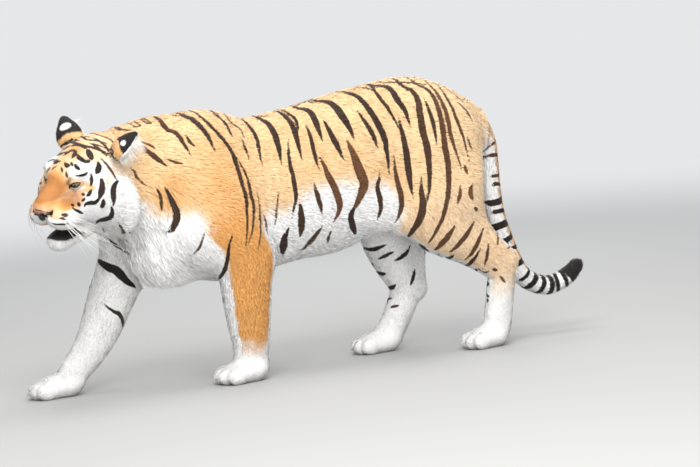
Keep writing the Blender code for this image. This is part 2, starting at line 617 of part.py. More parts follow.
    looks = {"nose": "nose_skin", "eye_left": "eye_gloss", "eye_right": "eye_gloss", "ear_left": "coat_ear", "ear_right": "coat_ear",
             "head": "coat_head", "lower_jaw": "coat_white"}
    for name, obj in cut.items():
        keep_largest(obj)
        obj.modifiers.new("triangles", "TRIANGULATE")
        baked(obj)
        look = looks.get(name)
        if look is None:
            look = ("coat_tail" if name.startswith("tail") else "coat_white" if "paw" in name or name.startswith("foreleg_right")
                    else "coat_pale" if "lower" in name else "coat_orange")
        obj.data.materials.clear()
        obj.data.materials.append(material(look))
        obj.data.transform(Matrix.Translation(SHIFT))
        obj.data.update()


main()
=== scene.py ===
"""The looks of a walking tiger: a skin with its markings, a coat of mesh tufts, eyes, nose, whiskers and claws."""

import math
import bpy
import numpy as np
from math import cos, radians, sin
from mathutils import Matrix, Vector


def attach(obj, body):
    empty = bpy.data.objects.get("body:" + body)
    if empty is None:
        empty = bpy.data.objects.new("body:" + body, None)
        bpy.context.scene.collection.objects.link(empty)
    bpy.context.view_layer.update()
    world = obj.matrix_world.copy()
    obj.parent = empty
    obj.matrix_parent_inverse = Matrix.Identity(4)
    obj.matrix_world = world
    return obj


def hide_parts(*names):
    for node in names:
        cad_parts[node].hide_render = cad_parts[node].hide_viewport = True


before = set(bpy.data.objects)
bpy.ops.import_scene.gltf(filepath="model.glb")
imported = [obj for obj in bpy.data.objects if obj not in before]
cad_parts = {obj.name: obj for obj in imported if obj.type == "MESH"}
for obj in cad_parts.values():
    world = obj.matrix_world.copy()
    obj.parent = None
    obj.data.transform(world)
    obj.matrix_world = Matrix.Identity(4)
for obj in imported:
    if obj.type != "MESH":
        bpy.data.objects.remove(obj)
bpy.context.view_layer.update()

SHIFT = np.array((-0.0214, 0.0918, 0.0))   # from the anatomy's own frame to the part's frame
CELL = 0.0087         # skin cell, m
TUFT_SHARE = 1.04       # share of the full number of tufts

# ============================================================================
# anatomy: the body as a distance field
# ============================================================================

# ---- head frame -------------------------------------------------------------
HEAD_AT = np.array((0.118, -0.967, 0.724))
HEAD_YAW, HEAD_PITCH, HEAD_ROLL, HEAD_SIZE = 26.5, 16.5, -12.3, 1.10


def head_matrix():
    y, p, r = radians(HEAD_YAW), radians(HEAD_PITCH), radians(HEAD_ROLL)
    f = np.array((sin(y) * cos(p), -cos(y) * cos(p), -sin(p)))
    l0 = np.array((cos(y), sin(y), 0.0))
    u0 = np.cross(f, l0)
    u0 = u0 / np.linalg.norm(u0)
    return np.stack((f, cos(r) * l0 + sin(r) * u0, cos(r) * u0 - sin(r) * l0), 1)


HEAD_R = head_matrix()


def hp(x, y, z):
    """A point of the head, from head units (forward, left, up) to metres."""
    return HEAD_AT + HEAD_R @ (np.array((x, y, z)) * HEAD_SIZE)


# ---- primitives -------------------------------------------------------------
def euler(rx, ry, rz):
    a, b, c = radians(rx), radians(ry), radians(rz)
    mx = np.array(((1, 0, 0), (0, cos(a), -sin(a)), (0, sin(a), cos(a))))
    my = np.array(((cos(b), 0, sin(b)), (0, 1, 0), (-sin(b), 0, cos(b))))
    mz = np.array(((cos(c), -sin(c), 0), (sin(c), cos(c), 0), (0, 0, 1)))
    return mz @ my @ mx


def d_ellipsoid(p, c, r, m):
    q = (p - c) @ m
    k0 = np.sqrt(((q / r) ** 2).sum(1)) + 1e-9
    k1 = np.sqrt(((q / r**2) ** 2).sum(1)) + 1e-9
    return k0 * (k0 - 1.0) / k1


def d_cone(p, a, b, ra, rb, squash):
    s = np.array((squash, 1.0, 1.0))
    p, a, b = p * s, a * s, b * s
    ba = b - a
    l2 = ba @ ba
    rr = ra - rb
    a2 = l2 - rr * rr
    pa = p - a
    y = pa @ ba
    z = y - l2
    w = pa * l2 - np.outer(y, ba)
    x2 = (w * w).sum(1)
    y2, z2 = y * y * l2, z * z * l2
    k = np.sign(rr) * rr * rr * x2
    mid = (np.sqrt(x2 * a2 / l2) + y * rr) / l2 - ra
    end = np.sqrt(x2 + z2) / l2 - rb
    start = np.sqrt(x2 + y2) / l2 - ra
    return np.where(np.sign(z) * a2 * z2 > k, end, np.where(np.sign(y) * a2 * y2 < k, start, mid))


def smooth_table(table, n=240):
    """The table resampled with a cubic through its rows."""
    y = table[:, 0]
    slope = np.zeros_like(table)
    slope[1:-1] = (table[2:] - table[:-2]) / (y[2:] - y[:-2])[:, None]
    slope[0] = (table[1] - table[0]) / (y[1] - y[0])
    slope[-1] = (table[-1] - table[-2]) / (y[-1] - y[-2])
    t = np.linspace(y[0], y[-1], n)
    i = np.clip(np.searchsorted(y, t) - 1, 0, len(y) - 2)
    h = (y[i + 1] - y[i])[:, None]
    u = (t - y[i])[:, None] / h
    return (table[i] * (2 * u**3 - 3 * u**2 + 1) + slope[i] * h * (u**3 - 2 * u**2 + u)
            + table[i + 1] * (3 * u**2 - 2 * u**3) + slope[i + 1] * h * (u**3 - u**2))


def curve(points, n):
    """A cubic through rows of numbers, sampled n times between each two."""
    t = np.array(points, float)
    k = np.concatenate(([0.0], np.cumsum(np.linalg.norm(np.diff(t[:, :3], axis=0), axis=1))))
    return smooth_table(np.column_stack((k, t)), n * (len(t) - 1) + 1)[:, 1:]


def d_tube(p, rows, squash):
    """Distance to a bent, tapering limb. Its rows are x, y, z, radius."""
    s = np.array((squash, 1.0, 1.0))
    q, c = p * s, rows[:, :3] * s
    best = np.full(len(p), 9.0)
    for a, b, ra, rb in zip(c[:-1], c[1:], rows[:-1, 3], rows[1:, 3]):
        ab = b - a
        t = np.clip(((q - a) @ ab) / (ab @ ab), 0, 1)
        best = np.minimum(best, np.linalg.norm(q - a - t[:, None] * ab, axis=1) - (ra + (rb - ra) * t))
    return best


# sections of the barrel: y, z of the widest level, half width, height above, depth below, roundness
BARREL = np.array((
    (-0.775, 0.700, 0.114, 0.190, 0.170, 2.1),
    (-0.700, 0.680, 0.147, 0.238, 0.265, 2.1),
    (-0.620, 0.655, 0.163, 0.268, 0.290, 2.2),
    (-0.540, 0.645, 0.173, 0.276, 0.290, 2.2),
    (-0.430, 0.630, 0.180, 0.284, 0.284, 2.2),
    (-0.330, 0.630, 0.184, 0.270, 0.270, 2.2),
    (-0.180, 0.640, 0.188, 0.276, 0.258, 2.2),
    (-0.030, 0.660, 0.190, 0.284, 0.266, 2.2),
    (0.090, 0.690, 0.184, 0.276, 0.262, 2.2),
    (0.200, 0.725, 0.173, 0.250, 0.240, 2.2),
    (0.320, 0.750, 0.160, 0.220, 0.205, 2.1),
    (0.440, 0.760, 0.138, 0.178, 0.170, 2.0),
    (0.520, 0.765, 0.104, 0.135, 0.140, 2.0),
    (0.570, 0.765, 0.071, 0.090, 0.100, 2.0),
))


BARREL_FINE = smooth_table(BARREL)


def d_barrel(p):
    t = BARREL_FINE
    y = np.clip(p[:, 1], t[0, 0], t[-1, 0])
    zc, hw, up, down, n = (np.interp(y, t[:, 0], t[:, c]) for c in range(1, 6))
    dz = p[:, 2] - zc
    h = np.where(dz > 0, up, down)
    # the back is narrower than the belly
    x = np.abs(p[:, 0]) * (1.0 + 0.10 * np.clip(dz / h, 0, 1))
    rho = ((x / hw) ** n + (np.abs(dz) / h) ** n + 1e-12) ** (1.0 / n)
    r = np.sqrt(x * x + dz * dz) + 1e-6
    edge = r / np.maximum(rho, 1e-3)
    over = 2.5 * (p[:, 1] - y)
    return np.where(rho > 1e-3, np.sqrt(r * r + over * over) - edge, -np.minimum(hw, h)) * 0.95


def smin(a, b, k):
    h = np.maximum(k - np.abs(a - b), 0.0) / k
    return np.minimum(a, b) - h * h * k * 0.25


EYES = []
PRIMS = []   # (kind, data, k, lo, hi)


def add(kind, data, k, lo, hi):
    PRIMS.append((kind, data, k, np.asarray(lo, float), np.asarray(hi, float)))


def ell(c, r, k=0.03, rot=(0, 0, 0), cut=False):
    c, r = np.array(c, float), np.array(r, float)
    m = euler(*rot) if not isinstance(rot, np.ndarray) else rot
    e = np.abs(m) @ r
    add('-e' if cut else 'e', (c, r, m), k, c - e, c + e)


def cone(a, b, ra, rb, k=0.03, squash=1.0):
    a, b = np.array(a, float), np.array(b, float)
    ea, eb = (np.array((r / squash, r, r)) for r in (ra, rb))
    add('c', (a, b, ra, rb, squash), k, np.minimum(a - ea, b - eb), np.maximum(a + ea, b + eb))


def chain(points, k=0.02, squash=1.0, n=4):
    """A smooth limb through (x, y, z, radius) points."""
    rows = curve(points, n)
    e = rows[:, 3:] * np.array((1 / squash, 1, 1))
    add('t', (rows, squash), k, (rows[:, :3] - e).min(0), (rows[:, :3] + e).max(0))


def hell(c, r, k=0.02, rot=(0, 0, 0), both=True, cut=False):
    """An ellipsoid in the head's units, on both sides of the face."""
    for side in ((1, -1) if both else (1,)):
        m = euler(rot[0] * side, rot[1], rot[2] * side)
        ell(hp(c[0], c[1] * side, c[2]), np.array(r) * HEAD_SIZE, k, HEAD_R @ m, cut)


def paw(x, y, heading, wide, long, k=0.02):
    """A foot with four toes. Its heel pad is under (x, y) and it points along heading, in degrees from -Y towards +X."""
    a = radians(heading)
    f, s = np.array((sin(a), -cos(a), 0)), np.array((cos(a), sin(a), 0))
    rz = (0, 0, heading)
    o = np.array((x, y, 0.0))
    ell(o + f * 0.015 * long + (0, 0, 0.038), (0.056 * wide, 0.068 * long, 0.045), 0.03, rz)
    ell(o + f * 0.058 * long + (0, 0, 0.032), (0.058 * wide, 0.046 * long, 0.037), 0.02, rz)
    for dx, df, r in ((-0.044, 0.076, 0.0195), (-0.0155, 0.094, 0.0215), (0.0155, 0.094, 0.0215), (0.044, 0.076, 0.0195)):
        ell(o + f * df * long + s * dx * wide + (0, 0, 0.029), (r * wide, 0.036 * long, 0.031), 0.014, (0, 0, heading + dx * 250))


def build():
    PRIMS.clear()
    add('b', None, 0.03, (-0.21, -0.775, 0.33), (0.21, 0.605, 0.99))
    # ---- neck
    cone((0.005, -0.57, 0.725), (0.058, -0.850, 0.748), 0.192, 0.152, 0.07, 1.18)
    ell((0.03, -0.76, 0.655), (0.115, 0.12, 0.105), 0.07, (-20, 0, 0))
    # ---- withers and croup
    ell((0.0, -0.47, 0.840), (0.085, 0.12, 0.086), 0.06)
    ell((0.0, 0.31, 0.86), (0.095, 0.17, 0.108), 0.07, (-4, 0, 0))
    # ---- chest between the forelegs
    ell((0.0, -0.66, 0.50), (0.120, 0.130, 0.142), 0.06, (-12, 0, 0))
    # ---- near (left) shoulder, arm and forearm
    ell((0.110, -0.500, 0.700), (0.074, 0.135, 0.205), 0.09, (12, -6, 0))
    ell((0.122, -0.520, 0.555), (0.072, 0.140, 0.150), 0.09, (0, 0, 0))
    chain(((0.130, -0.540, 0.560, 0.110), (0.137, -0.440, 0.470, 0.108), (0.140, -0.412, 0.400, 0.100), (0.139, -0.411, 0.320, 0.091), (0.135, -0.410, 0.210, 0.079), (0.130, -0.408, 0.130, 0.067), (0.128, -0.412, 0.070, 0.062)), 0.05, 1.32)
    ell((0.140, -0.352, 0.425), (0.043, 0.048, 0.060), 0.05)
    paw(0.128, -0.412, 6, 1.10, 1.06)
    # ---- far (right) shoulder, arm and forearm, stretched forward
    ell((-0.110, -0.570, 0.705), (0.074, 0.135, 0.200), 0.09, (28, 6, 0))
    ell((-0.122, -0.680, 0.570), (0.072, 0.130, 0.135), 0.09)
    chain(((-0.132, -0.735, 0.590, 0.102), (-0.137, -0.735, 0.480, 0.100), (-0.138, -0.762, 0.410, 0.092), (-0.136, -0.806, 0.325, 0.085), (-0.131, -0.862, 0.215, 0.073), (-0.127, -0.910, 0.145, 0.062), (-0.124, -0.970, 0.080, 0.053)), 0.05, 1.25)
    ell((-0.140, -0.700, 0.410), (0.042, 0.048, 0.058), 0.05)
    paw(-0.124, -0.998, -4, 1.06, 1.06)
    # ---- near (left) hind leg
    ell((0.096, 0.370, 0.655), (0.084, 0.155, 0.225), 0.09, (-10, -5, 0))
    ell((0.100, 0.315, 0.520), (0.076, 0.115, 0.135), 0.08, (20, 0, 0))
    ell((0.095, 0.440, 0.560), (0.070, 0.078, 0.140), 0.07, (-8, 0, 0))
    chain(((0.112, 0.310, 0.505, 0.100), (0.120, 0.345, 0.445, 0.092), (0.124, 0.450, 0.375, 0.076), (0.127, 0.535, 0.305, 0.060), (0.128, 0.568, 0.262, 0.055), (0.128, 0.560, 0.190, 0.053), (0.126, 0.542, 0.090, 0.055)), 0.05, 1.25)
    chain(((0.105, 0.455, 0.520, 0.060), (0.118, 0.500, 0.420, 0.046), (0.128, 0.590, 0.312, 0.034)), 0.05, 1.3)
    ell((0.128, 0.600, 0.302), (0.032, 0.034, 0.036), 0.03)
    paw(0.126, 0.525, 4, 1.0, 1.0)
    ell((0.110, 0.190, 0.545), (0.046, 0.120, 0.085), 0.09, (12, 0, 0))
    ell((-0.110, 0.160, 0.545), (0.046, 0.120, 0.085), 0.09, (12, 0, 0))
    # ---- far (right) hind leg, reaching forward
    ell((-0.096, 0.350, 0.655), (0.084, 0.155, 0.225), 0.09, (-2, 5, 0))
    ell((-0.100, 0.260, 0.515), (0.076, 0.115, 0.130), 0.08, (10, 0, 0))
    ell((-0.095, 0.400, 0.560), (0.070, 0.085, 0.140), 0.07, (4, 0, 0))
    chain(((-0.112, 0.245, 0.500, 0.102), (-0.118, 0.240, 0.420, 0.096), (-0.122, 0.262, 0.330, 0.078), (-0.124, 0.296, 0.245, 0.062), (-0.124, 0.298, 0.200, 0.058), (-0.122, 0.262, 0.125, 0.055), (-0.120, 0.225, 0.070, 0.054)), 0.05, 1.2)
    chain(((-0.105, 0.390, 0.500, 0.062), (-0.120, 0.350, 0.380, 0.050), (-0.124, 0.345, 0.225, 0.034)), 0.05, 1.3)
    ell((-0.124, 0.345, 0.212), (0.032, 0.034, 0.036), 0.03)
    paw(-0.120, 0.205, -2, 1.0, 1.0)
    # ---- tail
    chain(((0, 0.520, 0.820, 0.065), (0, 0.570, 0.780, 0.056), (0, 0.604, 0.715, 0.046), (0, 0.614, 0.640, 0.040), (0, 0.618, 0.546, 0.038),
           (0, 0.628, 0.452, 0.037), (0, 0.652, 0.368, 0.036), (0, 0.676, 0.298, 0.036), (0, 0.706, 0.238, 0.036), (0, 0.750, 0.198, 0.036),
           (0, 0.806, 0.178, 0.036), (0, 0.858, 0.182, 0.035), (0, 0.905, 0.203, 0.033), (0, 0.938, 0.230, 0.028)), 0.03)
    # ---- head
    hell((-0.055, 0, 0.045), (0.118, 0.098, 0.088), 0.05, both=False)
    hell((0.018, 0, 0.062), (0.078, 0.078, 0.050), 0.03, both=False)
    hell((0.038, 0.046, 0.076), (0.036, 0.034, 0.024), 0.02)
    cone(hp(0.040, 0, 0.048), hp(0.143, 0, 0.010), 0.045 * HEAD_SIZE, 0.035 * HEAD_SIZE, 0.03)
    hell((0.157, 0, 0.002), (0.027, 0.033, 0.024), 0.012, both=False)
    hell((0.120, 0.034, -0.031), (0.054, 0.041, 0.041), 0.024)
    hell((0.075, 0.045, -0.037), (0.064, 0.041, 0.041), 0.04)
    hell((0.030, 0.070, -0.002), (0.060, 0.038, 0.046), 0.03)
    hell((-0.010, 0.078, -0.025), (0.080, 0.055, 0.082), 0.04)
    hell((-0.060, 0.092, -0.065), (0.060, 0.062, 0.090), 0.05)
    hell((-0.050, 0, -0.090), (0.090, 0.090, 0.075), 0.05, both=False)
    # mouth opening and lower jaw
    hell((0.132, 0, -0.086), (0.076, 0.050, 0.0135), 0.008, both=False, cut=True, rot=(0, 12, 0))
    cone(hp(0.000, 0, -0.105), hp(0.100, 0, -0.128), 0.056 * HEAD_SIZE, 0.034 * HEAD_SIZE, 0.010)
    hell((0.112, 0, -0.126), (0.042, 0.040, 0.033), 0.012, both=False)
    hell((0.040, 0.048, -0.092), (0.046, 0.030, 0.036), 0.018)
    # eye sockets
    hell((0.074, 0.0565, 0.053), (0.024, 0.020, 0.015), 0.012, cut=True, rot=(0, 0, -20))
    # ears
    for side in (1, -1):
        up = np.array((-0.52, 0.58, 0.64) if side > 0 else (-0.35, -0.62, 0.70))
        up /= np.linalg.norm(up)
        out = np.array((-0.75, 0.55 * side, -0.35))
        out -= up * (out @ up)
        out /= np.linalg.norm(out)
        m = HEAD_R @ np.stack((np.cross(up, out), out, up), 1)
        c = np.array((-0.106, 0.116 * side, 0.122))
        s = HEAD_SIZE
        ell(hp(*(c - up * 0.016)), (0.043 * s, 0.024 * s, 0.054 * s), 0.018, m)
        ell(hp(*(c + up * 0.021)), (0.023 * s, 0.013 * s, 0.035 * s), 0.014, m)
        ell(hp(*(c + out * 0.021 + up * 0.004)), (0.033 * s, 0.019 * s, 0.045 * s), 0.008, m, cut=True)
    EYES[:] = [(hp(0.058, side * 0.0525, 0.053), 0.0190) for side in (1, -1)]
    # soles
    add('-z', None, 0.004, (-9, -9, -0.05), (9, 9, 0.02))


def prim(kind, data, p):
    if kind in ('e', '-e'):
        return d_ellipsoid(p, *data)
    if kind == 'c':
        return d_cone(p, *data)
    if kind == 't':
        return d_tube(p, *data)
    if kind == 'b':
        return d_barrel(p)
    return p[:, 2].copy()


def field(p, reach=0.05):
    """Distance to the surface of each point; far from every part it is only a large number."""
    d = np.full(len(p), 9.0)
    for kind, data, k, lo, hi in PRIMS:
        near = np.flatnonzero(((p > lo - k - reach) & (p < hi + k + reach)).all(1))
        if not len(near):
            continue
        e = prim(kind, data, p[near])
        if kind[0] == '-':
            if kind == '-z':
                e = -e
                d[near] = np.maximum(d[near], e)
                continue
            d[near] = -smin(-d[near], e, k)
        else:
            d[near] = smin(d[near], e, k)
    return d


def surface(h, field=field, lo=(-0.30, -1.22, -0.03), hi=(0.36, 1.03, 1.05), block=5, offset=0.0):
    """Closed quad mesh of the field's zero level, from cells of size h found near it."""
    lo, hi = np.array(lo), np.array(hi)
    nb = np.ceil((hi - lo) / (h * block)).astype(int)
    n = nb * block + 1
    H = h * block
    g = [lo[i] + H * np.arange(nb[i] + 1) for i in range(3)]
    C = np.stack(np.meshgrid(*g, indexing='ij'), -1).reshape(-1, 3)
    dc = field(C, reach=H * 2.5).reshape(nb + 1) - offset
    near = np.abs(dc) < H * 1.8
    act = np.zeros(nb, bool)
    for a in (0, 1):
        for b in (0, 1):
            for c in (0, 1):
                act |= near[a:nb[0] + a, b:nb[1] + b, c:nb[2] + c]
    D = np.full(n, 9.0, np.float32)
    side = np.where(dc[:-1, :-1, :-1] < 0, -9.0, 9.0).astype(np.float32)
    D[:-1, :-1, :-1] = side.repeat(block, 0).repeat(block, 1).repeat(block, 2)
    need = np.zeros(n, bool)
    bi = np.argwhere(act)
    o = np.arange(block + 1)
    for i, j, k in bi * block:
        need[i:i + block + 1, j:j + block + 1, k:k + block + 1] = True
    idx = np.argwhere(need)
    pts = lo + idx * h
    val = np.empty(len(pts))
    for s in range(0, len(pts), 200000):
        val[s:s + 200000] = field(pts[s:s + 200000], reach=H * 1.5)
    D[need] = val - offset
    D[0], D[-1], D[:, 0], D[:, -1], D[:, :, 0], D[:, :, -1] = (9.0,) * 6
    inside = D < 0
    # cells crossed by the surface
    cs = [slice(0, -1), slice(1, None)]
    cnt = np.zeros(n - 1, np.int8)
    for a in (0, 1):
        for b in (0, 1):
            for c in (0, 1):
                cnt += inside[cs[a], cs[b], cs[c]]
    cell = (cnt > 0) & (cnt < 8)
    ci = np.argwhere(cell)
    vid = np.full(n - 1, -1, np.int32)
    vid[cell] = np.arange(len(ci))
    acc = np.zeros((len(ci), 3))
    num = np.zeros(len(ci))
    corner = [(a, b, c) for a in (0, 1) for b in (0, 1) for c in (0, 1)]
    for p in corner:
        for ax in range(3):
            if p[ax]:
                continue
            q = list(p)
            q[ax] = 1
            dp = D[ci[:, 0] + p[0], ci[:, 1] + p[1], ci[:, 2] + p[2]]
            dq = D[ci[:, 0] + q[0], ci[:, 1] + q[1], ci[:, 2] + q[2]]
            x = (dp < 0) != (dq < 0)
            t = dp[x] / (dp[x] - dq[x])
            v = np.tile(np.array(p, float), (x.sum(), 1))
            v[:, ax] += t
            acc[x] += v
            num[x] += 1
    V = lo + (ci + acc / num[:, None]) * h
    Q = []
    for ax in range(3):
        sl0 = [slice(None)] * 3
        sl1 = [slice(None)] * 3
        sl0[ax], sl1[ax] = slice(0, -1), slice(1, None)
        a, b = inside[tuple(sl0)], inside[tuple(sl1)]
        e = np.argwhere(a != b)
        flip = a[tuple(e.T)]
        u, w = (ax + 1) % 3, (ax + 2) % 3
        c = []
        for du, dw in ((0, 0), (1, 0), (1, 1), (0, 1)):
            f = e.copy()
            f[:, u] -= du
            f[:, w] -= dw
            c.append(vid[tuple(f.T)])
        quad = np.stack(c, 1)
        quad[~flip] = quad[~flip][:, ::-1]
        Q.append(quad)
    return V, np.concatenate(Q)


def settle(V, field=field, steps=2, offset=0.0, eps=0.001):
    """Moves the points onto the field's zero level."""
    T = np.array(((1, -1, -1), (-1, -1, 1), (-1, 1, -1), (1, 1, 1)), float)
    for _ in range(steps):
        g = sum(t * (field(V + t * eps))[:, None] for t in T) / (4 * eps)
        d = field(V) - offset
        V = V - g * (np.clip(d, -0.01, 0.01) / np.maximum((g * g).sum(1), 0.2))[:, None]
    return V


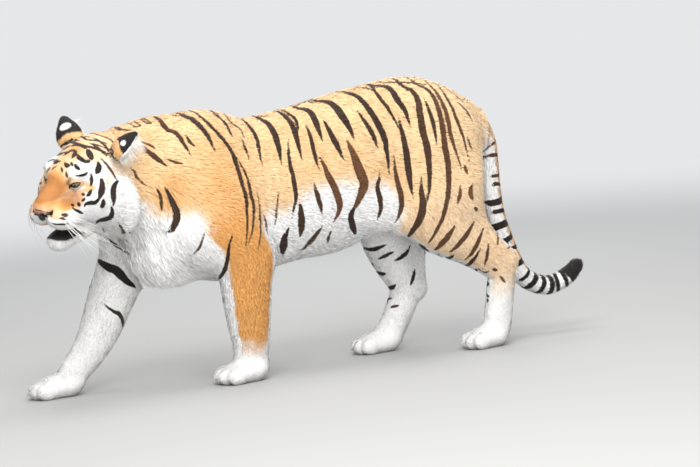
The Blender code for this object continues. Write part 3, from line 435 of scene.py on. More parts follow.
# ============================================================================
# where the dark marks run. Each row: places along its middle, mm; half width at its start, middle and end, mm; how brown it is
# ============================================================================
# trunk, neck and thighs, on the left side
BODY_STRIPES = (
    (((92, -557, 927), (122, -540, 912), (150, -521, 880), (168, -506, 845), (180, -499, 813), (185, -494, 799)), (4.3, 8.5, 1.8), 0.15),
    (((112, -507, 919), (142, -485, 887), (159, -459, 847), (175, -433, 793), (190, -422, 738), (203, -414, 679), (208, -406, 634), (214, -411, 567), (220, -420, 517), (222, -430, 474)), (5, 6.4, 2.1), 0.2),
    (((178, -418, 775), (190, -392, 711), (202, -384, 632), (202, -378, 597), (212, -395, 531), (221, -418, 482)), (1.8, 5.3, 1.8), 0.3),
    (((193, -361, 656), (194, -354, 580), (198, -360, 519), (213, -385, 454)), (1.4, 3.9, 1.4), 0.7),
    (((188, -338, 568), (182, -328, 529), (180, -324, 494)), (1.4, 2.8, 1.4), 0.6),
    (((184, -278, 647), (184, -289, 587), (172, -300, 518)), (1.4, 2.8, 1.4), 0.6),
    (((69, -436, 923), (104, -422, 896), (131, -417, 866), (148, -410, 837)), (6.4, 7.1, 1.8), 0.15),
    (((87, -391, 891), (97, -367, 870), (127, -363, 837)), (2.8, 3.9, 1.4), 0.3),
    (((134, -377, 835), (156, -374, 797), (170, -369, 760)), (1.8, 4.6, 1.4), 0.2),
    (((68, -329, 883), (124, -319, 831), (146, -322, 795), (164, -324, 755), (171, -321, 731)), (3.2, 5.3, 1.4), 0.2),
    (((16, -273, 904), (36, -255, 902), (52, -235, 899)), (1.8, 3.2, 1.8), 0.3),
    (((54, -274, 894), (87, -259, 875), (119, -252, 844), (141, -251, 809), (159, -253, 772), (171, -254, 731)), (5.7, 9.2, 1.8), 0.15),
    (((51, -193, 905), (100, -182, 875), (134, -179, 833), (155, -180, 792), (167, -179, 758), (172, -177, 740)), (5, 7.8, 1.8), 0.15),
    (((63, -172, 903), (95, -160, 883), (122, -164, 852), (140, -175, 823)), (3.5, 5, 2.8), 0.2),
    (((141, -209, 816), (154, -217, 785), (171, -223, 738), (180, -220, 693), (186, -218, 648), (187, -216, 620), (185, -225, 583), (178, -237, 546)), (1.8, 6.7, 1.8), 0.2),
    (((50, -128, 917), (74, -104, 909), (104, -96, 886), (135, -95, 847), (154, -92, 810), (159, -90, 797)), (4.3, 9.9, 1.8), 0.15),
    (((18, -118, 926), (-10, -75, 936), (58, -69, 925)), (2.1, 4.6, 1.8), 0.3),
    (((120, -135, 860), (150, -129, 811), (164, -130, 776), (175, -128, 741), (183, -121, 702)), (1.8, 6.4, 1.8), 0.2),
    (((39, -49, 936), (66, -23, 930), (97, -7, 911), (130, 5, 871), (152, 17, 832), (169, 26, 790)), (6.4, 12.1, 1.8), 0.15),
    (((122, -67, 869), (151, -57, 825), (166, -46, 790), (176, -36, 756), (182, -26, 727)), (2.1, 8.9, 1.8), 0.15),
    (((174, -112, 746), (183, -100, 710), (189, -87, 668), (190, -74, 637), (188, -62, 602), (181, -55, 561), (174, -67, 531), (168, -78, 514)), (2.5, 11.7, 3.2), 0.65),
    (((152, -85, 480), (138, -89, 458), (119, -87, 436)), (2.8, 5, 1.8), 0.35),
    (((188, -146, 660), (189, -141, 627), (185, -131, 586), (179, -121, 547)), (2.1, 7.4, 1.8), 0.3),
    (((17, 51, 959), (65, 74, 949), (93, 92, 930), (125, 106, 894), (146, 119, 856), (161, 131, 820), (169, 139, 786), (176, 142, 743), (180, 142, 680), (180, 144, 659)), (6.4, 10.3, 1.8), 0.15),
    (((124, 63, 890), (148, 79, 848), (163, 95, 811), (172, 104, 775), (176, 109, 750)), (2.1, 7.8, 1.8), 0.2),
    (((167, -3, 792), (176, 8, 757), (184, 19, 717), (188, 30, 675), (186, 41, 635), (183, 25, 595), (176, 0, 552)), (3.5, 16.3, 7.8), 0.7),
    (((176, 0, 552), (168, -11, 525), (150, 0, 488), (120, 21, 454)), (8.5, 10.6, 3.2), 0.1),
    (((43, 165, 970), (71, 207, 962), (90, 217, 947), (120, 225, 911), (138, 240, 874), (152, 244, 844), (161, 247, 817)), (5, 9.9, 1.8), 0.15),
    (((105, 163, 925), (131, 179, 886), (146, 189, 855), (160, 203, 814)), (2.1, 6, 1.8), 0.2),
    (((148, 210, 849), (160, 211, 813), (173, 214, 760), (179, 217, 689), (187, 217, 619), (192, 220, 567)), (2.8, 10.6, 1.8), 0.2),
    (((183, 106, 675), (183, 102, 643), (183, 92, 619), (179, 101, 572), (173, 103, 542), (159, 90, 499)), (2.1, 7.8, 2.1), 0.25),
    (((176, 167, 723), (179, 168, 677), (181, 172, 624), (185, 179, 582), (181, 179, 547), (172, 169, 506), (159, 156, 483)), (1.8, 8.2, 1.8), 0.45),
    (((185, -202, 591), (180, -201, 553), (171, -198, 517), (153, -201, 475)), (5, 11.3, 3.5), 0.2),
    (((169, -247, 511), (157, -260, 478), (136, -259, 442), (109, -255, 411)), (3.5, 11.3, 4.3), 0.1),
    (((163, -120, 501), (151, -139, 475), (133, -160, 448), (110, -187, 419)), (2.8, 8.5, 3.5), 0.35),
    (((225, -477, 515), (221, -490, 477), (204, -497, 426), (179, -504, 387), (134, -511, 361)), (2.1, 5.3, 5.3), 0.1),
    (((220, -572, 538), (210, -582, 504), (195, -593, 477), (180, -606, 461)), (1.1, 3.2, 1.1), 0.5),
    (((120, -637, 891), (136, -617, 880), (157, -605, 854), (171, -595, 827), (184, -584, 797)), (7.8, 7.1, 1.8), 0.35),
    (((154, -585, 866), (167, -578, 842), (176, -564, 827)), (3.5, 4.3, 1.8), 0.35),
    (((58, -584, 934), (83, -553, 931), (113, -529, 920)), (2.5, 4.3, 1.8), 0.3),
    (((2, 111, 970), (39, 130, 967), (79, 157, 949)), (2.1, 4.6, 1.4), 0.2),
    (((40, 208, 978), (65, 282, 971), (70, 361, 955)), (1.8, 3.5, 1.8), 0.25),
    (((77, 263, 962), (101, 294, 936), (126, 300, 904), (150, 292, 858), (171, 289, 793), (184, 294, 729), (188, 294, 669), (195, 286, 612), (200, 274, 565), (201, 264, 542)), (5, 11, 2.1), 0.3),
    (((120, 326, 912), (151, 330, 860), (170, 333, 807), (185, 330, 741)), (2.1, 6.4, 1.8), 0.25),
    (((76, 323, 958), (91, 354, 941), (124, 366, 904), (154, 367, 851), (172, 366, 798), (185, 362, 734), (187, 368, 674), (195, 361, 591), (203, 343, 537), (203, 324, 491), (195, 299, 446), (161, 276, 397)), (4.3, 9.6, 3.2), 0.5),
    (((101, 386, 925), (152, 394, 848), (179, 393, 766), (184, 410, 693), (185, 419, 651)), (2.8, 6.7, 2.1), 0.65),
    (((62, 417, 943), (111, 419, 905), (147, 428, 845), (163, 436, 797), (171, 447, 743), (178, 457, 670)), (3.2, 5.7, 1.8), 0.5),
    (((54, 449, 932), (74, 482, 899), (82, 499, 879)), (1.8, 4.3, 1.8), 0.4),
    (((110, 458, 886), (115, 491, 851), (126, 508, 807)), (1.8, 5, 2.5), 0.3),
    (((164, 464, 758), (166, 477, 703)), (1.8, 3.9, 1.8), 0.5),
    (((183, 434, 658), (185, 442, 629)), (4.3, 5.7, 3.5), 0.9),
    (((183, 460, 591), (186, 448, 564), (182, 455, 535)), (4.3, 8.5, 4.3), 0.95),
    (((191, 408, 593), (193, 403, 562), (195, 387, 528)), (2.8, 6.4, 2.5), 0.85),
    (((174, 464, 505), (168, 478, 494)), (4.3, 5.3, 3.5), 0.9),
    (((191, 259, 639), (195, 253, 592), (199, 253, 545), (195, 242, 498), (171, 222, 455), (129, 213, 424)), (2.1, 11.3, 5), 0.3),
    (((198, 369, 451), (193, 336, 413), (156, 304, 372)), (3.5, 10.3, 5.7), 0.55),
    (((174, 460, 457), (191, 416, 415), (186, 382, 383), (166, 354, 356)), (2.8, 8.2, 3.2), 0.45),
    (((165, 498, 429), (183, 461, 384), (180, 436, 348), (157, 415, 322)), (2.1, 6.7, 2.5), 0.45),
    (((183, 471, 362), (169, 444, 321), (117, 430, 300), (118, 408, 311)), (2.1, 6, 2.1), 0.15),
    (((176, 505, 372), (178, 494, 327), (167, 487, 295)), (2.1, 5, 1.8), 0.5),
    (((132, 256, 393), (123, 289, 366)), (6.4, 10.6, 7.1), 0),
    (((118, 330, 346), (118, 356, 334), (164, 372, 345)), (4.3, 7.8, 2.8), 0),
    (((147, 470, 283), (146, 493, 267), (161, 506, 274)), (1.4, 3.2, 1.4), 0.1),
    (((129, 564, 410), (168, 544, 363)), (1.8, 3.5, 1.8), 0.7),
    (((159, 589, 344), (36, 665, 350)), (2.1, 3.5, 1.8), 0.7),
    (((168, 519, 278), (170, 533, 273)), (3.5, 5, 3.2), 0.6),
    (((167, 545, 250), (171, 561, 229)), (2.8, 4.3, 2.8), 0.8),
    (((130, 503, 171), (136, 503, 163)), (3.5, 5, 3.5), 0),
    (((184, -685, 700), (184, -672, 668), (186, -661, 634), (188, -654, 606), (183, -659, 579), (166, -677, 550), (139, -708, 533)), (4.3, 9.9, 3.2), 0.2),
    (((181, -714, 700), (178, -705, 675), (176, -700, 648), (169, -699, 617)), (3.5, 5.3, 1.8), 0.3),
    (((143, -743, 852), (158, -729, 829), (167, -710, 807), (173, -692, 789), (179, -671, 770)), (2.8, 7.8, 2.1), 0.4),
    (((137, -740, 861), (145, -720, 848), (156, -697, 831)), (2.1, 3.9, 1.4), 0.6),
    (((174, -668, 793), (181, -642, 781), (186, -614, 772)), (1.4, 3.5, 1.4), 0.5),
    (((183, -799, 776), (183, -788, 763), (184, -782, 744), (183, -767, 726), (181, -747, 708)), (2.8, 3.5, 1.4), 0.4),
    (((200, -865, 596), (180, -849, 576), (95, -806, 554), (92, -789, 545)), (2.1, 6, 2.1), 0.45),
    (((165, -911, 581), (-71, -821, 530), (-61, -809, 505), (-35, -794, 488), (41, -784, 477)), (1.8, 3.9, 1.1), 0.2),
    (((68, -784, 906), (85, -758, 901)), (4.3, 6.4, 3.5), 0.5),
    (((71, -738, 910), (74, -718, 912)), (2.8, 3.5, 2.1), 0.6),
    (((68, -694, 918), (73, -681, 917)), (2.8, 3.9, 2.8), 0.5),
    (((-90, -832, 537), (-67, -817, 520), (-35, -797, 495), (41, -781, 470), (85, -765, 452)), (2.2, 4.6, 2), 0.1),
)
# inner and front sides of the right legs
LEG_BARS = (
    (((-147, -844, 453), (-108, -840, 442), (-88, -826, 429), (-73, -806, 418), (-67, -792, 402), (-65, -779, 384), (-66, -766, 372), (-81, -734, 346)), (4.3, 10.6, 1.8), 0),
    (((-75, -853, 302), (-70, -838, 286), (-70, -825, 276), (-74, -806, 265), (-87, -790, 237), (-108, -785, 209), (-120, -795, 184)), (1.8, 5.3, 1.8), 0.15),
    (((60, 40, 419), (-125, 149, 382), (-88, 160, 375), (-60, 179, 381), (-42, 204, 391)), (2.8, 5.3, 2.1), 0),
    (((-80, 185, 341), (-57, 207, 350), (-46, 235, 362)), (2.1, 4.6, 1.8), 0.1),
    (((-56, 242, 331), (-54, 268, 340), (-58, 295, 355), (-59, 311, 375)), (2.8, 6.4, 2.8), 0),
    (((-134, 197, 286), (-91, 212, 282)), (4.3, 6.7, 3.5), 0),
    (((-75, 325, 285), (-73, 317, 260), (-73, 303, 234)), (2.8, 5.7, 2.8), 0),
    (((-136, 237, 226), (-114, 237, 225), (-88, 249, 238)), (3.5, 6, 2.8), 0.1),
    (((-145, 234, 180), (-107, 237, 190)), (2.1, 3.5, 2.1), 0.3),
    (((-99, 226, 158), (-82, 251, 164)), (2.1, 3.5, 2.1), 0.3),
)
# left side of the tail
TAIL_BANDS = (
    (((40, 625, 664), (34, 593, 637), (22, 584, 608), (33, 595, 604), (39, 617, 613), (38, 627, 631)), (2.8, 4.6, 2.8), 0.2),
    (((172, 483, 576), (148, 515, 574)), (5.7, 6.4, 3.5), 0.1),
    (((167, 487, 526), (18, 588, 506), (38, 620, 518), (26, 648, 531)), (7.8, 10.6, 9.2), 0.05),
    (((155, 502, 490), (153, 517, 443), (147, 546, 416)), (1.4, 3.2, 4.3), 0.1),
    (((146, 544, 418), (35, 626, 418), (28, 656, 439)), (8.5, 12.1, 8.5), 0.05),
    (((36, 639, 386), (32, 663, 400)), (4.3, 7.1, 5.7), 0.1),
    (((29, 716, 263), (36, 716, 238), (34, 707, 215), (19, 699, 198)), (7.1, 9.2, 7.8), 0),
    (((20, 751, 235), (34, 748, 216)), (3.2, 4.6, 3.2), 0),
    (((12, 793, 216), (36, 784, 193), (29, 797, 158)), (5.7, 8.2, 7.1), 0),
    (((17, 831, 210), (35, 824, 188), (33, 835, 165)), (5, 6.7, 5.3), 0),
    (((-10, 859, 218), (-4, 886, 230), (5, 903, 240), (15, 919, 246)), (9.2, 18.4, 16.3), 0),
    (((25, 528, 895), (48, 564, 850), (61, 586, 800), (47, 608, 743), (43, 621, 699)), (1.8, 3.2, 2.1), 0.9),
    (((34, 636, 612), (13, 654, 561)), (2.1, 3.5, 2.1), 0.8),
)
# left side of the face, in the head's own units: forward, left, up
FACE_MARKS = (
    (((65, 39, 50), (82, 39, 45), (100, 39, 37), (104, 41, 26)), (3.5, 5.7, 2.8), 0.15),
    (((67, 65, 82), (55, 78, 80), (42, 82, 79), (33, 82, 82)), (1.8, 3.2, 2.8), 0),
    (((42, 43, 107), (48, 56, 101), (49, 66, 96)), (3.2, 5, 2.1), 0),
    (((16, 32, 116), (15, 42, 113), (14, 51, 109), (14, 61, 103)), (4.6, 6, 2.1), 0),
    (((-27, 37, 124), (-19, 51, 115), (-11, 64, 106)), (4.3, 8.2, 4.3), 0.1),
    (((-66, -120, 86), (-65, -104, 99), (-69, -90, 105), (-37, -23, 131), (-33, 0, 132), (-29, 25, 128)), (1.8, 3.9, 7.1), 0.1),
    (((11, -60, 105), (-3, -63, 106)), (3.5, 5.3, 3.2), 0.1),
    (((8, -43, 114), (10, -19, 121), (3, -10, 124), (-8, 4, 127)), (1.8, 3.9, 2.5), 0.2),
    (((-72, -104, 113), (-80, -86, 116), (-56, -28, 133)), (1.4, 2.8, 1.4), 0.2),
    (((56, -22, 107), (51, -9, 110)), (2.1, 3.2, 1.8), 0.3),
    (((54, 16, 108), (59, 29, 104)), (4.3, 6, 3.9), 0.15),
    (((42, 27, 110), (51, 40, 104)), (2.1, 3.2, 1.8), 0.2),
    (((25, 19, 117), (10, 14, 122), (-4, 11, 126)), (3.2, 5.3, 2.8), 0.15),
    (((69, 10, 101), (80, 23, 92)), (1.1, 2.1, 1.1), 0.5),
    (((74, 34, 93), (83, 42, 77)), (1.1, 2.1, 1.1), 0.5),
    (((-99, -61, 122), (-66, -3, 137), (-67, 16, 134)), (1.8, 3.5, 1.8), 0.2),
    (((-54, 21, 133), (-56, 48, 123), (-57, 68, 109), (-60, 90, 98)), (1.8, 3.9, 2.1), 0.2),
    (((-87, 6, 135), (-84, 36, 129), (-82, 60, 117), (-71, 94, 115), (-63, 104, 110)), (1.8, 3.5, 1.8), 0.25),
    (((-116, -33, 131), (-114, 2, 134), (-117, 23, 130), (-123, 49, 119), (-87, 113, 137)), (1.8, 3.2, 1.4), 0.3),
    (((-20, 80, 91), (-14, 87, 79), (3, 90, 70)), (5, 8.2, 4.3), 0.05),
    (((21, 87, 73), (31, 92, 58), (44, 96, 46)), (2.1, 3.9, 2.8), 0.1),
    (((-37, 76, 99), (-44, 94, 77), (-47, 107, 55), (-47, 126, 31)), (1.4, 3.2, 2.8), 0.55),
    (((-47, 126, 30), (-22, 130, 20), (-11, 135, 2), (-6, 139, -15), (0, 138, -31)), (2.8, 8.2, 2.5), 0.1),
    (((4, 107, 50), (16, 117, 33), (28, 121, 19), (42, 121, 6)), (7.1, 8.5, 4.3), 0.15),
    (((42, 121, 6), (56, 116, -2), (68, 108, 1), (78, 100, 0), (82, 97, -7)), (4.3, 5, 2.1), 0),
    (((28, 127, -2), (34, 126, -17), (41, 123, -23)), (2.8, 7.4, 2.8), 0.05),
    (((7, 135, -36), (6, 134, -57), (13, 126, -72), (29, 116, -72), (42, 107, -72), (43, 96, -81)), (3.5, 8.2, 4.3), 0.05),
    (((73, 85, 30), (71, 92, 28)), (2.8, 3.5, 2.1), 0.3),
    (((76, 95, 17), (83, 90, 10)), (2.1, 3.2, 1.8), 0.2),
    (((92, 81, 7), (92, 87, -3)), (2.1, 3.2, 1.8), 0.1),
    (((105, 67, 6), (103, 74, 1)), (1.8, 2.8, 1.8), 0.1),
    (((109, 75, -3), (105, 82, -11), (99, 87, -18), (89, 93, -30)), (1.4, 3.2, 1.8), 0.05),
    (((50, 102, 35), (60, 102, 26), (69, 99, 24)), (2.5, 4.6, 2.1), 0.1),
    (((150, 65, -11), (135, 76, -17)), (2.8, 4.3, 2.8), 0.5),
    (((158, 63, -20), (144, 74, -26)), (2.1, 3.2, 2.1), 0.5),
    (((173, 41, -37), (160, 61, -41), (140, 75, -46)), (1.4, 2.5, 1.4), 0.1),
    (((37, -100, 48), (60, -75, 44), (104, -25, 63)), (1.8, 3.2, 2.1), 0),
)


# ============================================================================
# noise and small helpers
# ============================================================================
def smooth(a, b, x):
    t = np.clip((x - a) / (b - a), 0.0, 1.0)
    return t * t * (3 - 2 * t)


def unit(v):
    return v / np.maximum(np.linalg.norm(v, axis=-1, keepdims=True), 1e-9)


def hash3(i, seed=0):
    """Repeatable numbers from 0 to 1 for rows of three whole numbers."""
    h = (i[..., 0] * 73856093 ^ i[..., 1] * 19349663 ^ i[..., 2] * 83492791 ^ (seed * 2654435761 & 0x7FFFFFFF)) & 0x7FFFFFFF
    h = (h ^ (h >> 13)) * 1274126177 & 0x7FFFFFFF
    h = (h ^ (h >> 16)) * 461845907 & 0x7FFFFFFF
    return ((h ^ (h >> 15)) & 0xFFFFFF) / float(0xFFFFFF)


def noise(p, scale, seed=0):
    """Smooth noise from -1 to 1."""
    q = p * scale + 1000.0
    i = np.floor(q).astype(np.int64)
    f = q - i
    f = f * f * (3 - 2 * f)
    out = np.zeros(len(p))
    for a in (0, 1):
        for b in (0, 1):
            for c in (0, 1):
                w = (f[:, 0] if a else 1 - f[:, 0]) * (f[:, 1] if b else 1 - f[:, 1]) * (f[:, 2] if c else 1 - f[:, 2])
                out += w * hash3(i + np.array((a, b, c)), seed)
    return out * 2 - 1


# ============================================================================
# frames of the head, the ears, the eyes and the limbs
# ============================================================================
build()
PRIMS[:] = [q for q in PRIMS if q[0] != '-z']
AXES = [q[1][0] for q in PRIMS if q[0] == 't']       # fore left, fore right, hind left, calf left, hind right, calf right, tail
LEG_AXES = {'FL': AXES[0], 'FR': AXES[1], 'HL': AXES[2], 'HR': AXES[4]}
TAIL_AXIS = AXES[6]


def to_head(p):
    return (p - HEAD_AT) @ HEAD_R / HEAD_SIZE


def ear_frame(side):
    up = np.array((-0.52, 0.58, 0.64) if side > 0 else (-0.35, -0.62, 0.70))
    up /= np.linalg.norm(up)
    out = np.array((-0.75, 0.55 * side, -0.35))
    out -= up * (out @ up)
    out /= np.linalg.norm(out)
    return np.array((-0.106, 0.116 * side, 0.122)), np.stack((np.cross(up, out), out, up), 1)


EARS = {s: ear_frame(s) for s in (1, -1)}


def eye_frame(side):
    """Columns: gaze, towards the temple, up along the lids."""
    g = unit(np.array((0.86, 0.50 * side, 0.02)))
    t = np.array((-0.50, 0.83 * side, 0.24))
    t = unit(t - g * (t @ g))
    v = np.cross(g, t) * (1 if np.cross(g, t)[2] > 0 else -1)
    return HEAD_R @ np.stack((g, t, v), 1)


EYE_R = 0.0190
EYE_AT = {s: EYES[0 if s == 1 else 1][0] for s in (1, -1)}
EYE_M = {s: eye_frame(s) for s in (1, -1)}
LID_W, LID_UP, LID_LOW = 0.0150, 0.0052, 0.0050


def lens_shape(s, v, grow=0.0):
    """Under zero inside the almond opening between the lids."""
    w = LID_W + grow
    out = []
    for h, sign in ((LID_UP + grow, 1), (LID_LOW + grow, -1)):
        r = (w * w + h * h) / (2 * h)
        out.append(np.sqrt(s * s + (v * sign + r - h) ** 2) - r)
    return np.maximum(out[0], out[1])


def along(p, rows):
    """(distance to the axis minus its radius, unit direction of the axis, share of the way) of the nearest place on a limb's axis."""
    best, tang, share = np.full(len(p), 9.0), np.zeros((len(p), 3)), np.zeros(len(p))
    n = len(rows) - 1
    for i in range(n):
        a, b = rows[i], rows[i + 1]
        ab = b[:3] - a[:3]
        t = np.clip(((p - a[:3]) @ ab) / (ab @ ab), 0, 1)
        d = np.linalg.norm(p - a[:3] - t[:, None] * ab, axis=1) - (a[3] + (b[3] - a[3]) * t)
        k = d < best
        best[k], share[k] = d[k], (i + t[k]) / n
        tang[k] = ab / np.linalg.norm(ab)
    return best, tang, share


def regions(p):
    """Soft shares of head, face, ear, each leg and tail at each point, with the limbs' directions."""
    q = to_head(p)
    r = {'q': q}
    far = np.linalg.norm(q - np.array((0.0, 0, 0)), axis=1)
    r['head'] = smooth(-0.20, -0.07, q[:, 0] + 0.25 * np.minimum(q[:, 2], 0)) * smooth(0.34, 0.26, far)
    r['face'] = smooth(-0.05, 0.07, q[:, 0]) * r['head']
    ear = np.zeros(len(p))
    for s, (c, m) in EARS.items():
        e = (q - c) @ m
        d = np.sqrt((e[:, 0] / 0.050) ** 2 + (e[:, 1] / 0.034) ** 2 + ((e[:, 2] - 0.006) / 0.062) ** 2)
        ear = np.maximum(ear, smooth(1.25, 0.85, d) * smooth(-0.045, -0.018, e[:, 2]))
    r['ear'] = ear
    body = d_barrel(p)
    leg = np.zeros(len(p))
    down = np.zeros((len(p), 3))
    down[:, 2] = -1.0
    share = np.zeros(len(p))
    which = np.full(len(p), -1)
    low = smooth(0.62, 0.48, p[:, 2])
    best = np.full(len(p), 9.0)
    for n, (name, rows) in enumerate(LEG_AXES.items()):
        near = np.flatnonzero((p[:, 2] < 0.68) & (np.abs(p[:, 1] - rows[:, 1].mean()) < 0.34) & (p[:, 0] * rows[0, 0] > 0))
        if not len(near):
            continue
        d, t, s = along(p[near], rows)
        k = d < best[near]
        i = near[k]
        best[i], down[i], share[i], which[i] = d[k], t[k], s[k], n
    leg = smooth(-0.03, 0.035, body - np.maximum(best, -0.02)) * low * (best < 0.09)
    r.update(leg=leg, down=down, leg_share=share, which=which)
    r['paw'] = smooth(0.10, 0.065, p[:, 2]) * (which >= 0)
    dt, tt, ts = along(p, TAIL_AXIS)
    r['tail'] = smooth(0.035, 0.008, dt) * smooth(0.02, 0.10, ts) * (p[:, 1] > 0.54) * (np.abs(p[:, 0]) < 0.075)
    r['tail_dir'], r['tail_share'] = tt, ts
    return r


def coat_depth(p):
    """How far the skin lies inside the coat's tips, m."""
    r = regions(p)
    q = r['q']
    d = np.full(len(p), 0.0130)
    under = smooth(0.52, 0.40, p[:, 2]) * (1 - r['leg'])
    d += 0.005 * under
    ruff = smooth(-0.22, -0.08, q[:, 0]) * smooth(0.02, -0.04, q[:, 0]) * smooth(0.05, -0.03, q[:, 2])
    d += 0.004 * ruff
    d = d * (1 - r['leg']) + r['leg'] * (0.0085 - 0.0035 * smooth(0.4, 0.9, r['leg_share']))
    d = d * (1 - r['paw']) + r['paw'] * 0.0040
    d = d * (1 - r['tail']) + r['tail'] * 0.0095
    head = 0.0075 + 0.007 * smooth(0.03, -0.03, q[:, 0]) * smooth(0.06, 0.0, q[:, 2])
    d = d * (1 - r['head']) + r['head'] * head
    d = d * (1 - r['face']) + r['face'] * (0.0042 - 0.0018 * smooth(0.08, 0.14, q[:, 0]))
    d = d * (1 - r['ear']) + r['ear'] * 0.0026
    return d


MOUTH_AT, MOUTH_R = (0.132, 0.0, -0.086), (0.076, 0.050, 0.0135)


def face_detail(p, d):
    """Lids, canthus, the groove of the upper lip and the creases where the muzzle's pads meet the nose."""
    q = to_head(p)
    for s in (1, -1):
        e = (p - EYE_AT[s]) @ EYE_M[s]
        near = np.flatnonzero(np.linalg.norm(e, axis=1) < 0.045)
        if not len(near):
            continue
        e = e[near]
        r = np.linalg.norm(e, axis=1)
        ball = smin(d[near], r - (EYE_R + 0.0036), 0.010)
        lens = lens_shape(e[:, 1], e[:, 2])
        # the rim of the lids, a little proud
        rim = np.sqrt((np.abs(lens) / 1.0) ** 2 + (r - EYE_R - 0.0030) ** 2) - 0.0022
        ball = np.where(e[:, 0] > 0, smin(ball, rim, 0.004), ball)
        cut = np.maximum(np.maximum(lens, EYE_R - 0.0012 - r), -e[:, 0])
        ball = -smin(-ball, cut, 0.0014)
        # tear duct, running down to the nose
        a = np.array((0.0168 * 0.9, -LID_W + 0.0005, -0.0005))
        b = np.array((0.0120, -LID_W - 0.0110, -0.0055))
        ab = b - a
        t = np.clip(((e - a) @ ab) / (ab @ ab), 0, 1)
        duct = np.linalg.norm(e - a - t[:, None] * ab, axis=1) - 0.0028 * (1 - 0.5 * t)
        ball = -smin(-ball, duct, 0.003)
        d[near] = ball
    near = np.flatnonzero((q[:, 0] > 0.10) & (np.abs(q[:, 1]) < 0.09) & (np.abs(q[:, 2]) < 0.16))
    if len(near):
        f, l, u = q[near].T
        al = np.abs(l)
        v = d[near]
        # groove between the two halves of the upper lip
        g = np.sqrt((al / 0.0045) ** 2 + ((f - 0.172) / 0.020) ** 2 + ((u + 0.046) / 0.024) ** 2) - 1
        v = -smin(-v, g * 0.0045, 0.004)
        # crease where the muzzle's pads meet the nose
        g = np.sqrt(((al - 0.034) / 0.005) ** 2 + ((f - 0.160) / 0.022) ** 2 + ((u + 0.012) / 0.012) ** 2) - 1
        v = -smin(-v, g * 0.005, 0.005)
        d[near] = v
    return d


def skin_field(p, reach=0.05):
    d = field(p, reach + 0.03)
    near = np.flatnonzero(np.abs(d) < reach + 0.06)
    if len(near):
        pn = p[near]
        dn = d[near] + coat_depth(pn)
        face = np.flatnonzero(np.linalg.norm(pn - HEAD_AT, axis=1) < 0.34)
        if len(face):
            dn[face] = face_detail(pn[face], dn[face])
        # soles stand on the floor
        dn = np.maximum(dn, 0.0006 - pn[:, 2])
        d[near] = dn
    return d


# ============================================================================
# markings
# ============================================================================
def path_points(points, n=3):
    pts = np.array(points, float)
    if len(pts) < 3:
        t = np.linspace(0, 1, 7)[:, None]
        return pts[0] + (pts[-1] - pts[0]) * t
    return curve(pts, n)


def widths(w, n):
    t = np.linspace(0, 1, n)
    a, b, c = w
    first = np.sin(np.clip(t / 0.55, 0, 1) * math.pi / 2)
    last = np.sin(np.clip((1 - t) / 0.45, 0, 1) * math.pi / 2)
    a, c = 0.72 * a, 0.60 * c
    b = max(b, 3.2)
    return np.where(t < 0.5, a + (b - a) * first, c + (b - c) * last) * 0.001 + 0.0010


def leg_slide(p, a, b):
    """Moves points that belong to one leg to the matching place on another."""
    z = p[:, 2]
    ra, rb = LEG_AXES[a][::-1], LEG_AXES[b][::-1]
    w = smooth(0.66, 0.46, z)
    dy = np.interp(z, rb[:, 2], rb[:, 1]) - np.interp(z, ra[:, 2], ra[:, 1])
    out = p.copy()
    out[:, 1] += dy * w
    return out


STROKES = []   # rows of x, y, z, half width; tone
SPREAD = {"body": 1.12, "legs": 1.30, "face": 1.32}
# rings of the tail: a place on its axis (y, z), half width, how brown, how far round it goes (1 all round, 0 half way, from above)
RINGS = ((0.600, 0.720, 6, 0.7, -0.3), (0.612, 0.665, 8, 0.5, 0.0), (0.614, 0.610, 7, 0.4, 0.2), (0.616, 0.560, 8, 0.3, 0.1), (0.618, 0.512, 13, 0.1, 0.8), (0.624, 0.466, 9, 0.1, 0.5),
         (0.634, 0.418, 15, 0.05, 1.0), (0.650, 0.372, 11, 0.05, 0.8), (0.668, 0.322, 8, 0.05, 0.6), (0.690, 0.272, 12, 0.0, 1.0), (0.714, 0.232, 8, 0.0, 0.7), (0.742, 0.204, 12, 0.0, 1.0),
         (0.778, 0.187, 11, 0.0, 1.0), (0.816, 0.178, 12, 0.0, 1.0), (0.852, 0.181, 9, 0.0, 0.9), (0.882, 0.191, 9, 0.0, 1.0), (0.932, 0.224, 50, 0.0, 1.0))


def add_stroke(points, w, tone, mirror=1.0, seed=0):
    rows = path_points(points)
    hw = widths(w, len(rows))
    STROKES.append((np.column_stack((rows, hw)), tone))
    if mirror is None:
        return
    m = rows * np.array((-1, 1, 1))
    k = np.array(((seed * 7 + 1, 3, 5), (seed * 11 + 2, 9, 4), (seed * 5 + 8, 1, 7)), dtype=np.int64)
    j = hash3(k, 17) * 2 - 1
    back = smooth(0.86, 0.70, rows[:, 2])    # stripes still meet along the spine
    m[:, 1] += (0.016 * j[0] + 0.006 * np.sin(np.linspace(0, 3, len(rows)) + 9 * j[1])) * (0.25 + 0.75 * back)
    m[:, 2] += 0.008 * j[2] * back
    if rows[:, 2].min() < 0.60:
        fore = rows[:, 1].mean() < 0.0
        if fore and rows[:, 1].mean() < -0.36:
            m = leg_slide(m, 'FL', 'FR')
        elif not fore and rows[:, 1].mean() > 0.20:
            m = leg_slide(m, 'HL', 'HR')
    STROKES.append((np.column_stack((m, hw * (1 + 0.16 * j[1]))), tone))


def spine_heights():
    y = np.linspace(-0.86, 0.56, 48)
    z = np.linspace(0.70, 1.02, 81)
    g = np.stack(np.meshgrid(y, z, indexing='ij'), -1).reshape(-1, 2)
    d = field(np.column_stack((np.zeros(len(g)), g)), 0.05).reshape(len(y), len(z))
    return y, np.array([z[np.flatnonzero(row < 0)[-1]] if (row < 0).any() else 0.7 for row in d])


